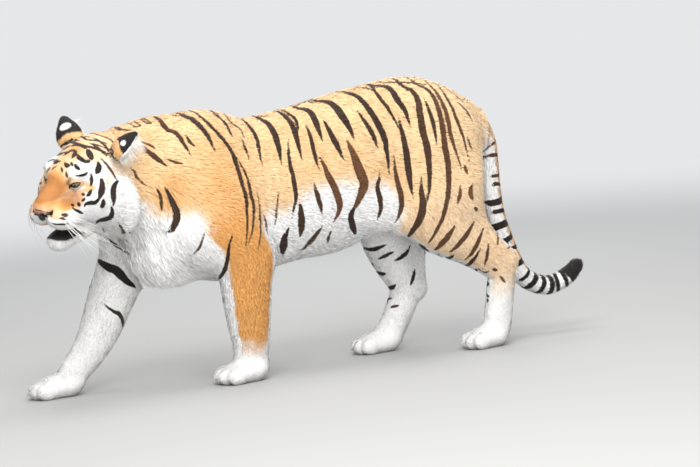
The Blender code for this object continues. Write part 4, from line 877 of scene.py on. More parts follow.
def to_spine(pts, sy, sz):
    """Carries a stripe that ends high on the back on to the middle line."""
    out = pts
    for end in (0, -1):
        x, y, z = pts[end]
        top = np.interp(y, sy, sz)
        if pts[end, 2] < pts[:, 2].max() - 0.004 or top - z > 0.055 or not 0.006 < x < 0.16 or y < -0.80:
            continue
        lean = -0.10 if y < 0.3 else -0.25
        more = np.array([(x * k, y + lean * x * (1 - k), top - (top - z) * k * k) for k in (0.55, 0.12)])
        out = np.concatenate((more[::-1], out)) if end == 0 else np.concatenate((out, more))
    return out


def make_strokes():
    STROKES.clear()
    sy, sz = spine_heights()
    for n, (pts, w, tone) in enumerate(BODY_STRIPES):
        pts = to_spine(np.array(pts) / 1000.0, sy, sz)
        if pts[:, 0].mean() < 0.02:
            add_stroke(pts, np.array(w) * SPREAD["body"], tone, None)
        else:
            add_stroke(pts, np.array(w) * SPREAD["body"], tone, 1.0, n)
    for n, (pts, w, tone) in enumerate(LEG_BARS):
        p = np.array(pts) / 1000.0
        w = np.array(w) * SPREAD["legs"]
        if n == 2:
            p = p[1:]
        STROKES.append((np.column_stack((path_points(p), widths(w, len(path_points(p))))), tone))
        a, b = ('FR', 'FL') if p[:, 1].mean() < 0 else ('HR', 'HL')
        m = leg_slide(path_points(p) * np.array((-1, 1, 1)), a, b)
        STROKES.append((np.column_stack((m, widths(w, len(m)))), tone))
        # bars on the outer side of each leg, too
        if n in (2, 4, 5, 7):
            rows = LEG_AXES[a]
            z = p[:, 2].mean()
            k = rows[::-1]
            cx, cy, cr = (np.interp(z, k[:, 2], k[:, c]) for c in (0, 1, 3))
            o = path_points(p).copy()
            o[:, 0] = 2 * cx - o[:, 0]
            STROKES.append((np.column_stack((o, widths(w, len(o)) * 0.8)), tone))
    for n, (pts, w, tone) in enumerate(FACE_MARKS):
        p = np.array(pts) / 1000.0
        w = np.array(w) * SPREAD["face"]
        if n in (0, 36):
            continue
        for side in (1, -1):
            k = p * np.array((1, side, 1)) if side == 1 or abs(p[:, 1].mean()) > 0.006 else p
            if side == -1:
                if abs(p[:, 1].mean()) <= 0.006:
                    continue
                j = hash3(np.array(((n, 5, 2), (n, 8, 3)), dtype=np.int64), 5) * 2 - 1
                k = k + np.array((0.002 * j[0], 0, 0.002 * j[1]))
            rows = HEAD_AT + (path_points(k) @ HEAD_R.T) * HEAD_SIZE
            STROKES.append((np.column_stack((rows, widths(w, len(rows)))), tone))


def stripes(p, n):
    """(how far inside a dark mark, m; how brown that mark is) at each point with normal n."""
    inside = np.full(len(p), -0.03)
    tone = np.zeros(len(p))
    wob = np.stack([noise(p, 55.0, k) for k in (1, 2, 3)], 1) * 0.0016 + np.stack([noise(p, 140.0, k) for k in (4, 5, 6)], 1) * 0.0007
    p = p + wob
    for rows, t in STROKES:
        a = rows[:, :3]
        m = 0.03 + rows[:, 3].max()
        near = np.flatnonzero(((p > a.min(0) - m - 0.012) & (p < a.max(0) + m + 0.012)).all(1))
        if not len(near):
            continue
        q, nn = p[near], n[near]
        best = np.full(len(near), -0.03)
        core = np.zeros(len(near))
        for i in range(len(rows) - 1):
            ab = rows[i + 1, :3] - rows[i, :3]
            v = q - rows[i, :3]
            vn = (v * nn).sum(1)
            h = np.clip(((v @ ab)) / max(ab @ ab, 1e-9), 0, 1)
            c = v - h[:, None] * ab
            cn = (c * nn).sum(1)
            flat = np.sqrt(np.maximum((c * c).sum(1) - cn * cn, 0))
            hw = rows[i, 3] + (rows[i + 1, 3] - rows[i, 3]) * h
            e = np.where(np.abs(cn) < 0.036, hw - flat, -0.03)
            k = e > best
            best[k] = e[k]
            core[k] = (e / np.maximum(hw, 1e-4))[k]
        k = best > inside[near]
        i = near[k]
        inside[i] = best[k]
        tone[i] = t * (0.40 + 0.85 * smooth(0.15, 0.75, core[k]))
    # rings of the tail
    near = np.flatnonzero((p[:, 1] > 0.54) & (np.abs(p[:, 0]) < 0.07) & (p[:, 2] < 0.80))
    if len(near):
        q, nn = p[near], n[near]
        d, tang, _ = along(q, TAIL_AXIS)
        above = nn[:, 2] * tang[:, 1] - nn[:, 1] * tang[:, 2]
        own = d < 0.02
        for y, z, hw, t, cover in RINGS:
            c = np.array((0.0, y, z))
            k = np.argmin(np.linalg.norm(TAIL_AXIS[:, :3] - c, axis=1))
            a = TAIL_AXIS[min(k + 1, len(TAIL_AXIS) - 1), :3] - TAIL_AXIS[max(k - 1, 0), :3]
            a = a / np.linalg.norm(a)
            v = q - c
            e = hw * 0.00088 - np.abs(v @ a + (0.35 * math.sin(40 * y + 60 * z)) * v[:, 0] + 0.12 * math.sin(90 * z) * (above * 0.02)) - 0.030 * np.maximum(0, -above - cover)
            e = np.where(own & (np.linalg.norm(v, axis=1) < 0.075), e, -0.03)
            k = e > inside[near]
            inside[near[k]] = e[k]
            tone[near[k]] = t
    return inside, tone


def dab(values, q, c, r, value, hard=0.5):
    """A soft spot of a value round a place. q and c are in the same frame."""
    d = np.linalg.norm((q - np.array(c)) / np.array(r), axis=1)
    w = smooth(1.0, hard, d)
    return values + (value - values) * w


def paint(p, n):
    """Colour fields at points of the skin: mark (m inside a dark mark, the painted shade of the mouth's inside among
    them), tone, pale (orange to white), rich (sandy to deep orange), naked skin and shade (naked dark skin, with
    painted shade inside the mouth and under the nose piece), pink.
    """
    r = regions(p)
    q = r['q']
    body = np.column_stack((np.abs(p[:, 0]), p[:, 1], p[:, 2]))
    soft = noise(p, 9.0, 11) * 0.5 + noise(p, 28.0, 12) * 0.5
    # ---- orange above, white below
    line = np.interp(p[:, 1], (-0.75, -0.58, -0.50, -0.42, -0.33, -0.26, -0.205, -0.13, -0.034, 0.04, 0.12, 0.17, 0.22, 0.26, 0.34, 0.41, 0.60),
                     (0.620, 0.590, 0.48, 0.46, 0.575, 0.560, 0.600, 0.622, 0.640, 0.614, 0.606, 0.555, 0.475, 0.42, 0.345, 0.30, 0.28))
    pale = smooth(0.085, -0.055, p[:, 2] - line - 0.028 * soft)
    rich = 0.34 + 0.1 * soft
    rich = rich + 0.40 * smooth(0.26, 0.0, np.linalg.norm((body - (0.21, -0.49, 0.58)) / (1, 0.8, 1.6), axis=1))
    rich = rich + 0.30 * smooth(0.13, 0.02, np.linalg.norm((body - (0.16, -0.69, 0.70)) / (1, 0.8, 0.8), axis=1))     # the ruff behind the cheek is tawnier
    rich = rich - 0.30 * smooth(0.10, 0.42, p[:, 1])
    rich = rich - 0.16 * smooth(0.16, 0.0, np.linalg.norm((body - (0.19, -0.33, 0.68)) / (1, 0.6, 1.4), axis=1))
    pale = pale + (0.10 * smooth(0.05, 0.40, p[:, 1]) + 0.16 * smooth(0.15, 0.45, p[:, 1]) * smooth(0.72, 0.50, p[:, 2])) * (1 - pale)
    # ---- chest and throat
    top = np.interp(p[:, 1], (-0.95, -0.80, -0.74, -0.71, -0.68, -0.62, -0.58), (0.66, 0.618, 0.612, 0.610, 0.614, 0.618, 0.612))
    rear = np.interp(p[:, 2], (0.25, 0.36, 0.44, 0.476, 0.534, 0.589, 0.673, 0.74), (-0.50, -0.485, -0.497, -0.512, -0.572, -0.584, -0.583, -0.62))
    rear = rear - 0.24 * smooth(0.74, 0.60, p[:, 2]) * smooth(-0.03, -0.09, p[:, 0])     # the right shoulder is further forward
    chest = smooth(0.042, -0.038, p[:, 2] - top - 0.022 * soft) * smooth(0.022, -0.022, p[:, 1] - rear - 0.012 * soft)
    pale = np.maximum(pale, chest)
    rich = rich + 0.35 * smooth(0.26, 0.0, np.linalg.norm((p - (-0.20, -0.66, 0.58)) / (1, 0.8, 1.6), axis=1))
    inner = smooth(0.15, 0.08, np.abs(p[:, 0])) * smooth(0.62, 0.52, p[:, 2])
    pale = np.maximum(pale, inner)
    # ---- legs: orange outside, white inside and along their edges
    lg = r['leg']
    out_n = n[:, 0] * np.sign(p[:, 0])
    fore = (r['which'] == 0) | (r['which'] == 1)
    outer = smooth(0.62, 0.86, out_n + 0.12 * soft)
    fore_pale = 1 - outer * smooth(0.03, 0.22, p[:, 2] + 0.04 * soft)
    hind_pale = 0.92 - 0.62 * smooth(0.25, 0.75, out_n + 0.3 * (n[:, 1] > 0) * smooth(0.1, 0.6, n[:, 1])) * smooth(0.10, 0.30, p[:, 2])
    leg_pale = np.where(fore, fore_pale, hind_pale)
    zone = lg
    keep = chest * smooth(0.28, 0.38, p[:, 2]) * np.where(r['which'] == 1, 1 - outer, 1.0)
    pale = pale * (1 - zone) + np.maximum(leg_pale, keep) * zone
    rich = rich * (1 - zone) + np.where(fore, 0.95, 0.22) * zone
    thigh = smooth(0.14, 0.24, p[:, 1]) * smooth(0.62, 0.50, p[:, 2]) * smooth(0.25, 0.36, p[:, 2]) * smooth(0.3, 0.7, out_n) * (p[:, 1] < 0.58)
    pale = pale + (0.26 - pale) * thigh * 0.8
    pale = pale * (1 - r['paw'] * 0.85) + r['paw'] * 0.85 * 0.95
    # ---- tail: orange along its upper side, white below
    tl = r['tail']
    td = r['tail_dir']
    dorsal = np.column_stack((np.zeros(len(p)), -td[:, 2], td[:, 1]))
    side_up = (n * dorsal).sum(1)
    tail_pale = 1 - 0.85 * smooth(0.25, 0.65, side_up) * smooth(0.80, 0.60, r['tail_share'])
    pale = pale * (1 - tl) + tail_pale * tl
    rich = rich * (1 - tl) + 0.45 * tl
    # ---- buttocks, white beside the tail
    rear = smooth(0.30, 0.75, n[:, 1]) * smooth(0.48, 0.58, p[:, 1]) * smooth(0.80, 0.66, p[:, 2]) * (1 - tl) * (p[:, 2] > 0.33)
    pale = np.maximum(pale, 0.9 * rear)
    # ---- neck sides and head
    hd = r['head']
    f, l, u = q.T
    al = np.abs(l)
    h = np.column_stack((f, al, u))
    hp_ = np.full(len(p), 0.30)
    hr = np.full(len(p), 0.42)
    lower = smooth(0.045, -0.015, u - 0.03 * smooth(0.05, -0.06, f))
    hp_ = np.maximum(hp_, lower * smooth(0.10, 0.06, f))
    hp_ = dab(hp_, h, (-0.020, 0.100, 0.075), (0.075, 0.040, 0.050), 0.72, 0.3)
    hp_ = dab(hp_, h, (-0.085, 0.105, 0.050), (0.050, 0.050, 0.045), 0.45, 0.3)
    hp_ = dab(hp_, h, (0.045, 0.118, 0.020), (0.055, 0.045, 0.060), 0.98)
    hp_ = dab(hp_, h, (0.060, 0.105, -0.030), (0.055, 0.050, 0.050), 1.0)
    hp_ = dab(hp_, h, (-0.030, 0.135, -0.030), (0.070, 0.055, 0.080), 1.0)
    hp_ = dab(hp_, h, (0.015, 0.105, 0.060), (0.040, 0.040, 0.030), 0.80)
    # bridge of the nose, forehead and crown
    hp_ = dab(hp_, h, (0.120, 0.0, 0.048), (0.085, 0.044, 0.052), 0.0, 0.62)
    hr = dab(hr, h, (0.125, 0.0, 0.045), (0.090, 0.060, 0.060), 1.4, 0.5)
    hp_ = dab(hp_, h, (0.080, 0.0, 0.095), (0.050, 0.027, 0.040), 0.05, 0.5)
    hp_ = dab(hp_, h, (-0.005, 0.0, 0.132), (0.060, 0.048, 0.030), 0.12, 0.4)
    hr = dab(hr, h, (0.010, 0.0, 0.130), (0.070, 0.050, 0.040), 0.62, 0.4)
    hp_ = dab(hp_, h, (-0.080, 0.045, 0.120), (0.060, 0.060, 0.035), 0.30, 0.4)
    # orange cheek under the eye and beside the nose
    hp_ = dab(hp_, h, (0.054, 0.094, 0.038), (0.028, 0.022, 0.014), 0.05, 0.5)
    hp_ = dab(hp_, h, (0.118, 0.056, 0.006), (0.034, 0.030, 0.021), 0.08, 0.5)
    hp_ = dab(hp_, h, (0.147, 0.030, 0.008), (0.030, 0.030, 0.018), 0.05, 0.5)
    hr = dab(hr, h, (0.100, 0.060, 0.015), (0.060, 0.045, 0.034), 1.25, 0.4)
    # white brows, under-eye line, muzzle, lips and chin
    hp_ = dab(hp_, h, (0.050, 0.060, 0.094), (0.042, 0.031, 0.032), 1.0, 0.70)
    hp_ = dab(hp_, h, (0.018, 0.078, 0.094), (0.034, 0.026, 0.028), 0.96, 0.5)
    hp_ = dab(hp_, h, (0.040, 0.082, 0.066), (0.026, 0.022, 0.016), 0.95, 0.5)
    hp_ = dab(hp_, h, (0.062, 0.062, 0.0395), (0.030, 0.030, 0.0065), 0.95, 0.5)
    hp_ = dab(hp_, h, (0.125, 0.078, -0.030), (0.055, 0.036, 0.028), 0.97, 0.5)
    hp_ = dab(hp_, h, (0.170, 0.030, -0.040), (0.040, 0.045, 0.024), 1.0, 0.6)
    hp_ = dab(hp_, h, (0.110, 0.0, -0.130), (0.110, 0.080, 0.062), 1.0, 0.75)
    hp_ = dab(hp_, h, (0.100, 0.060, -0.075), (0.090, 0.060, 0.040), 1.0, 0.6)
    hp_ = dab(hp_, h, (0.000, 0.0, -0.130), (0.110, 0.120, 0.070), 1.0, 0.75)
    nape = smooth(-0.078, -0.110, f) * smooth(-0.078, -0.045, u + 0.015 * soft)
    hp_ = hp_ + (0.26 - hp_) * nape
    back = smooth(-0.10, -0.16, f)
    k = hd * (1 - back * 0)
    pale = pale * (1 - k) + hp_ * k
    rich = rich * (1 - k) + hr * k
    # ---- dark marks
    mark, tone = stripes(p, n)
    stripe = mark.copy()
    bare_skin_and_shade = np.zeros(len(p))
    pink = np.zeros(len(p))
    # ears: black behind with a white spot, white inside
    for s, (c, m) in EARS.items():
        e = (q - c) @ m
        near = (np.abs(e[:, 0]) < 0.06) & (np.abs(e[:, 1]) < 0.045) & (e[:, 2] > -0.05) & (e[:, 2] < 0.075) & (r['ear'] > 0.02)
        i = np.flatnonzero(near)
        if not len(i):
            continue
        x, y, z = e[i].T
        facing = n[i] @ (HEAD_R @ m[:, 1])
        behind = smooth(0.15, -0.10, facing + 0.25 * (np.abs(x) > 0.034))
        if s > 0:
            # this ear is turned, and its spot sits towards its front edge
            lean = 0.016 if (HEAD_R @ m[:, 0])[1] < 0 else -0.016
            spot = np.sqrt(((x - lean) / 0.010) ** 2 + ((z - 0.004) / 0.0085) ** 2) - 1
        else:
            spot = np.sqrt((x / 0.019) ** 2 + ((z - 0.010) / 0.0110) ** 2) - 1
        black = np.minimum((z + (0.006 if s > 0 else 0.014) + 0.25 * np.abs(x)) * 1.0, 0.012)
        black = np.where(spot < 0.35, np.minimum(black, spot * 0.014), black)
        black = np.where(behind > 0.5, black, -0.03)
        mark[i] = np.where(r['ear'][i] > 0.5, black, np.maximum(mark[i] * (r['ear'][i] < 0.3) - 0.03 * (r['ear'][i] >= 0.3), black))
        tone[i] = 0.0
        pale[i] = np.where(behind > 0.5, np.where(spot < 0.6, 1.0, 0.12), 0.95)
        rich[i] = 0.55
    # rims of the eyes and the tear line
    for s in (1, -1):
        e = (p - EYE_AT[s]) @ EYE_M[s]
        rr = np.linalg.norm(e, axis=1)
        i = np.flatnonzero((rr < 0.042) & (e[:, 0] > 0))
        if not len(i):
            continue
        x = e[i]
        rim = lens_shape(x[:, 1], x[:, 2], 0.0042)
        a, b = np.array((-LID_W, 0.0)), np.array((-LID_W - 0.013, -0.0075))
        t = np.clip(((x[:, 1:] - a) @ (b - a)) / ((b - a) @ (b - a)), 0, 1)
        tear = np.linalg.norm(x[:, 1:] - a - t[:, None] * (b - a), axis=1) - 0.0042 * (1 - 0.35 * t)
        edge = np.minimum(rim, tear)
        bare_skin_and_shade[i] = np.maximum(bare_skin_and_shade[i], smooth(0.0010, -0.0012, edge))
        mark[i] = np.maximum(mark[i], -edge + 0.0005)
        tone[i] = np.where(edge < 0.002, 0.0, tone[i])
    # skin under the nose piece, lips and the inside of the mouth; the mouth's inside and the skin seen through the
    # nostrils are painted near-black shade
    i = np.flatnonzero((f > 0.0) & (np.abs(l) < 0.09) & (u < 0.02) & (u > -0.17))
    if len(i):
        x = q[i]
        m = np.linalg.norm((x - np.array(MOUTH_AT)) / (np.array(MOUTH_R) + 0.005), axis=1) - 1
        # painted shade: the whole inside of the open mouth is near-black, not pink
        gap = smooth(0.16, -0.05, m) * smooth(-0.135, -0.118, x[:, 2]) * smooth(-0.066, -0.078, x[:, 2] + 0.20 * np.maximum(x[:, 0] - 0.10, 0))
        bare_skin_and_shade[i] = np.maximum(bare_skin_and_shade[i], gap)
        deep = smooth(0.045, 0.028, np.abs(x[:, 1])) * gap
        pink[i] = deep * 0.0
        mark[i] = np.where(gap > 0.4, np.maximum(mark[i], 0.006), mark[i])
        tone[i] = np.where(gap > 0.4, 0.0, tone[i])
        # black lower lip; its broad band is partly painted shade below the open mouth
        lip = np.linalg.norm((x - np.array((0.088, 0.0, -0.104))) / np.array((0.060, 0.066, 0.0185)), axis=1) - 1
        lipm = smooth(0.10, -0.15, lip)
        low = x[:, 2] + 0.20 * np.maximum(x[:, 0] - 0.10, 0) < -0.080
        mark[i] = np.where(low, np.maximum(mark[i], -lip * 0.018), mark[i])
        tone[i] = np.where(low & (lip < 0.1), 0.0, tone[i])
        lipm = lipm * low
        # painted shade: dark skin under the nose piece, seen through its nostrils
        under = np.linalg.norm((q[i] - np.array((0.168, 0, -0.007))) / np.array((0.026, 0.028, 0.0165)), axis=1)
        bare_skin_and_shade[i] = np.maximum(bare_skin_and_shade[i], smooth(1.05, 0.95, under))
        bare_skin_and_shade[i] = np.maximum(bare_skin_and_shade[i], 0.7 * lipm)
    return dict(mark=mark, tone=np.clip(tone, 0, 1), pale=np.clip(pale, 0, 1), rich=np.clip(rich, 0, 1.5), bare_skin_and_shade=bare_skin_and_shade, pink=pink, stripe=stripe), r


# ============================================================================
# lie of the coat
# ============================================================================
def lie(p, n, r):
    """Unit direction, in the skin, along which the coat lies."""
    q = r['q']
    t = np.zeros((len(p), 3))
    t[:, 1] = 1.0
    t[:, 2] = -0.28
    low = smooth(0.72, 0.50, p[:, 2])
    t[:, 2] -= 0.30 * low * smooth(-0.1, 0.3, -p[:, 2] + 0.62)
    chest = smooth(-0.50, -0.68, p[:, 1]) * smooth(0.80, 0.64, p[:, 2])
    t = t * (1 - chest)[:, None] + chest[:, None] * np.array((0, 0.45, -1.0))
    w = r['leg'][:, None]
    t = t * (1 - w) + r['down'] * w
    w = r['paw'][:, None]
    t = t * (1 - w) + np.array((0, -1.0, -0.25)) * w
    w = r['tail'][:, None]
    t = t * (1 - w) + r['tail_dir'] * w
    # neck: from the head back over the shoulders
    # head: away from the nose
    src = np.array((0.185, 0, -0.005))
    d = q - src
    d[:, 0] -= 0.05
    d[:, 1] *= 1.5
    d[:, 2] = d[:, 2] * 1.1 - 0.30 * smooth(0.06, -0.06, q[:, 0]) * np.abs(q[:, 1])
    jaw = smooth(-0.085, -0.11, q[:, 2])
    d[:, 2] -= 0.10 * jaw
    d = unit(d) @ HEAD_R.T
    w = (smooth(-0.24, -0.10, q[:, 0]) * (r['head'] > 0))[:, None] * r['head'][:, None]
    t = unit(t) * (1 - w) + d * w
    for s, (c, m) in EARS.items():
        e = (q - c) @ m
        up = (HEAD_R @ m[:, 2])
        w = r['ear'] * (q[:, 1] * s > 0)
        t = t * (1 - w)[:, None] + up * w[:, None]
    t += 0.16 * np.stack([noise(p, 14.0, k) for k in (31, 32, 33)], 1)
    t = t - n * (t * n).sum(1)[:, None]
    return unit(t)


def coat_shape(p, n, r):
    """Length, width and tip height of a tuft, and tufts per square metre, at each point."""
    q = r['q']
    depth = coat_depth(p)
    under = smooth(0.50, 0.38, p[:, 2]) * (1 - r['leg'])
    L = np.full(len(p), 0.024) + 0.014 * under
    chest = smooth(-0.50, -0.66, p[:, 1]) * smooth(0.80, 0.64, p[:, 2])
    L += 0.012 * chest
    ruff = smooth(-0.26, -0.12, q[:, 0]) * smooth(0.01, -0.05, q[:, 0]) * smooth(0.06, -0.02, q[:, 2])
    L += 0.016 * ruff
    L = L * (1 - r['leg']) + r['leg'] * (0.018 - 0.006 * smooth(0.4, 0.9, r['leg_share']))
    L = L * (1 - r['paw']) + r['paw'] * 0.0085
    L = L * (1 - r['tail']) + r['tail'] * 0.022
    head = 0.013 + 0.018 * smooth(0.03, -0.04, q[:, 0]) * smooth(0.05, -0.02, q[:, 2])
    L = L * (1 - r['head']) + r['head'] * head
    L = L * (1 - r['face']) + r['face'] * (0.0085 - 0.0045 * smooth(0.07, 0.14, q[:, 0]) + 0.005 * smooth(-0.09, -0.12, q[:, 2]))
    L = L * (1 - r['ear']) + r['ear'] * 0.0085
    W = 0.0018 + 0.036 * L
    W = W * (1 - 0.45 * r['face']) * (1 - 0.35 * r['ear'])
    H = depth * (0.92 + 0.10 * under)
    rho = np.full(len(p), 1 / 0.0030**2)
    small = np.maximum(r['head'] * 0.7, np.maximum(r['face'], r['ear']))
    rho = rho * (1 + 1.6 * small + 0.2 * r['paw'])
    rho = np.where(p[:, 2] < 0.004, 0, rho)
    return L, W, H, rho


# ============================================================================
# meshes
# ============================================================================
ROOT = bpy.data.collections.new("tiger")
bpy.context.scene.collection.children.link(ROOT)


def mesh_of(name, V, faces, smooth_shade=True):
    """faces: list of arrays of vertex numbers, one array for each face size."""
    me = bpy.data.meshes.new(name)
    V = np.asarray(V, np.float32)
    me.vertices.add(len(V))
    me.vertices.foreach_set("co", V.ravel())
    loops = np.concatenate([f.ravel() for f in faces]).astype(np.int32)
    sizes = np.concatenate([np.full(len(f), f.shape[1], np.int32) for f in faces])
    me.loops.add(len(loops))
    me.loops.foreach_set("vertex_index", loops)
    me.polygons.add(len(sizes))
    me.polygons.foreach_set("loop_start", np.concatenate(([0], np.cumsum(sizes)[:-1])).astype(np.int32))
    me.polygons.foreach_set("loop_total", sizes)
    me.update(calc_edges=True)
    if smooth_shade:
        me.polygons.foreach_set("use_smooth", np.ones(len(sizes), bool))
    return me


def place(name, me, mat, slot=None, replaces=()):
    o = bpy.data.objects.new(name, me)
    ROOT.objects.link(o)
    me.materials.clear()
    me.materials.append(mat)
    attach(o, "root")
    if replaces:
        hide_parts(*replaces)
    return o


def put(me, name, values):
    a = me.attributes.new(name, 'FLOAT', 'POINT')
    a.data.foreach_set("value", np.asarray(values, np.float32))


def verts(me):
    co = np.empty(len(me.vertices) * 3, np.float32)
    me.vertices.foreach_get("co", co)
    return co.reshape(-1, 3).astype(float)


def normals_of(me):
    n = np.empty(len(me.vertices) * 3, np.float32)
    me.vertex_normals.foreach_get("vector", n)
    return n.reshape(-1, 3).astype(float)


import time
_t0 = time.time()


def tick(what):
    print("%6.1fs %s" % (time.time() - _t0, what), flush=True)


def subdivide_where(me, near):
    """Splits each face whose points are all chosen, with the faces round them closed up."""
    import bmesh
    bm = bmesh.new()
    bm.from_mesh(me)
    bm.verts.ensure_lookup_table()
    edges = [e for e in bm.edges if near[e.verts[0].index] and near[e.verts[1].index]]
    bmesh.ops.subdivide_edges(bm, edges=edges, cuts=1, use_grid_fill=True)
    bmesh.ops.triangulate(bm, faces=[f for f in bm.faces if len(f.verts) > 4])
    bm.to_mesh(me)
    bm.free()


def make_skin():
    V, Q = surface(CELL, field=skin_field, lo=(-0.30, -1.22, -0.03), hi=(0.36, 1.03, 1.05))
    tick("skin cells %d" % len(V))
    # drop specks that aren't joined to the body
    me = mesh_of("skin", V, [Q])
    import bmesh
    bm = bmesh.new()
    bm.from_mesh(me)
    bm.verts.ensure_lookup_table()
    seen, best = set(), []
    for v in bm.verts:
        if v.index in seen:
            continue
        group, stack = [], [v]
        seen.add(v.index)
        while stack:
            a = stack.pop()
            group.append(a)
            for e in a.link_edges:
                b = e.other_vert(a)
                if b.index not in seen:
                    seen.add(b.index)
                    stack.append(b)
        if len(group) > len(best):
            best = group
    keep = set(best)
    bmesh.ops.delete(bm, geom=[v for v in bm.verts if v not in keep], context='VERTS')
    bm.to_mesh(me)
    bm.free()
    V = settle(verts(me), skin_field, 1)
    me.vertices.foreach_set("co", V.astype(np.float32).ravel())
    for level in (((1, 2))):
        q = to_head(V)
        if level == 1:
            near = (q[:, 0] > -0.16) & (np.linalg.norm(q, axis=1) < 0.28)
        else:
            near = np.zeros(len(V), bool)
            for s in (1, -1):
                near |= np.linalg.norm(V - EYE_AT[s], axis=1) < 0.036
            near |= np.linalg.norm((q - np.array((0.165, 0, -0.025))) / np.array((0.03, 0.05, 0.045)), axis=1) < 1
        subdivide_where(me, near)
        V = verts(me)
        q = to_head(V)
        i = np.flatnonzero((q[:, 0] > -0.20) & (np.linalg.norm(q, axis=1) < 0.32))
        V[i] = settle(V[i], skin_field, 2, eps=0.0006)
        me.vertices.foreach_set("co", V.astype(np.float32).ravel())
        me.update()
    V[:, 2] = np.maximum(V[:, 2], 0.0006)
    me.vertices.foreach_set("co", V.astype(np.float32).ravel())
    me.update()
    me.polygons.foreach_set("use_smooth", np.ones(len(me.polygons), bool))
    return me


def unwrap(me):
    """A map named OFBake on the skin: each face falls in the chart of its part and of the side that it faces."""
    V = verts(me)
    np_ = len(me.polygons)
    c = np.empty(np_ * 3, np.float32)
    me.polygons.foreach_get("center", c)
    c = c.reshape(-1, 3).astype(float)
    nn = np.empty(np_ * 3, np.float32)
    me.polygons.foreach_get("normal", nn)
    nn = nn.reshape(-1, 3).astype(float)
    r = regions(c)
    part = np.zeros(np_, int)                      # 0 body
    part[(r['leg'] > 0.5) & (r['which'] >= 0)] = 1
    part[part == 1] += r['which'][part == 1]       # 1-4 legs
    part[r['tail'] > 0.5] = 5
    part[(r['head'] > 0.5)] = 6
    part[r['ear'] > 0.5] = 7
    part[(part == 7) & (c[:, 0] < HEAD_AT[0] - 0.02)] = 8
    side = np.abs(nn[:, 0]) >= np.abs(nn[:, 2]) * 0.8
    face = np.where(side, np.where(nn[:, 0] > 0, 0, 1), np.where(nn[:, 2] > 0, 2, 3))
    fb = np.abs(nn[:, 1]) > np.maximum(np.abs(nn[:, 0]), np.abs(nn[:, 2])) * 1.1
    face = np.where(fb, np.where(nn[:, 1] < 0, 4, 5), face)
    # surfaces that would lie over each other in a chart get one each
    sub = np.zeros(np_, int)
    sub[(face == 0) & (c[:, 0] < -0.02) & (part == 0)] = 1
    sub[(face == 1) & (c[:, 0] > 0.02) & (part == 0)] = 1
    sub[(face > 3) & (c[:, 1] > -0.25)] = 1
    qc = to_head(c)
    sub[(part == 6) & (qc[:, 2] < -0.082)] = 2
    chart = part * 24 + face * 4 + sub
    start = np.empty(np_, np.int32)
    total = np.empty(np_, np.int32)
    me.polygons.foreach_get("loop_start", start)
    me.polygons.foreach_get("loop_total", total)
    lv = np.empty(len(me.loops), np.int32)
    me.loops.foreach_get("vertex_index", lv)
    owner = np.repeat(np.arange(np_), total)
    P = V[lv]
    ch = chart[owner]
    fc = face[owner]
    uv = np.where((fc < 2)[:, None], P[:, [1, 2]], np.where((fc < 4)[:, None], P[:, [1, 0]], P[:, [0, 2]]))
    used = np.unique(chart)
    boxes = []
    for k in used:
        m = uv[ch == k]
        boxes.append((k, m.min(0), m.max(0) - m.min(0)))
    # shelves, tallest chart first
    boxes.sort(key=lambda b: -b[2][1])
    scale = 1 / 2.75
    gap = 0.006
    for _ in range(60):
        x, y, row, ok = gap, gap, 0.0, True
        spots = {}
        for k, lo, size in boxes:
            w, h = size * scale
            if x + w + gap > 1:
                x, y, row = gap, y + row + gap, 0.0
            if y + h + gap > 1:
                ok = False
                break
            spots[k] = (np.array((x, y)), lo)
            x += w + gap
            row = max(row, h)
        if ok:
            break
        scale *= 0.97
    off = np.zeros((len(lv), 2))
    for k, (at, lo) in spots.items():
        m = ch == k
        off[m] = at + (uv[m] - lo) * scale
    layer = me.uv_layers.new(name="OFBake")
    layer.data.foreach_set("uv", off.astype(np.float32).ravel())
    return off, start, total, lv


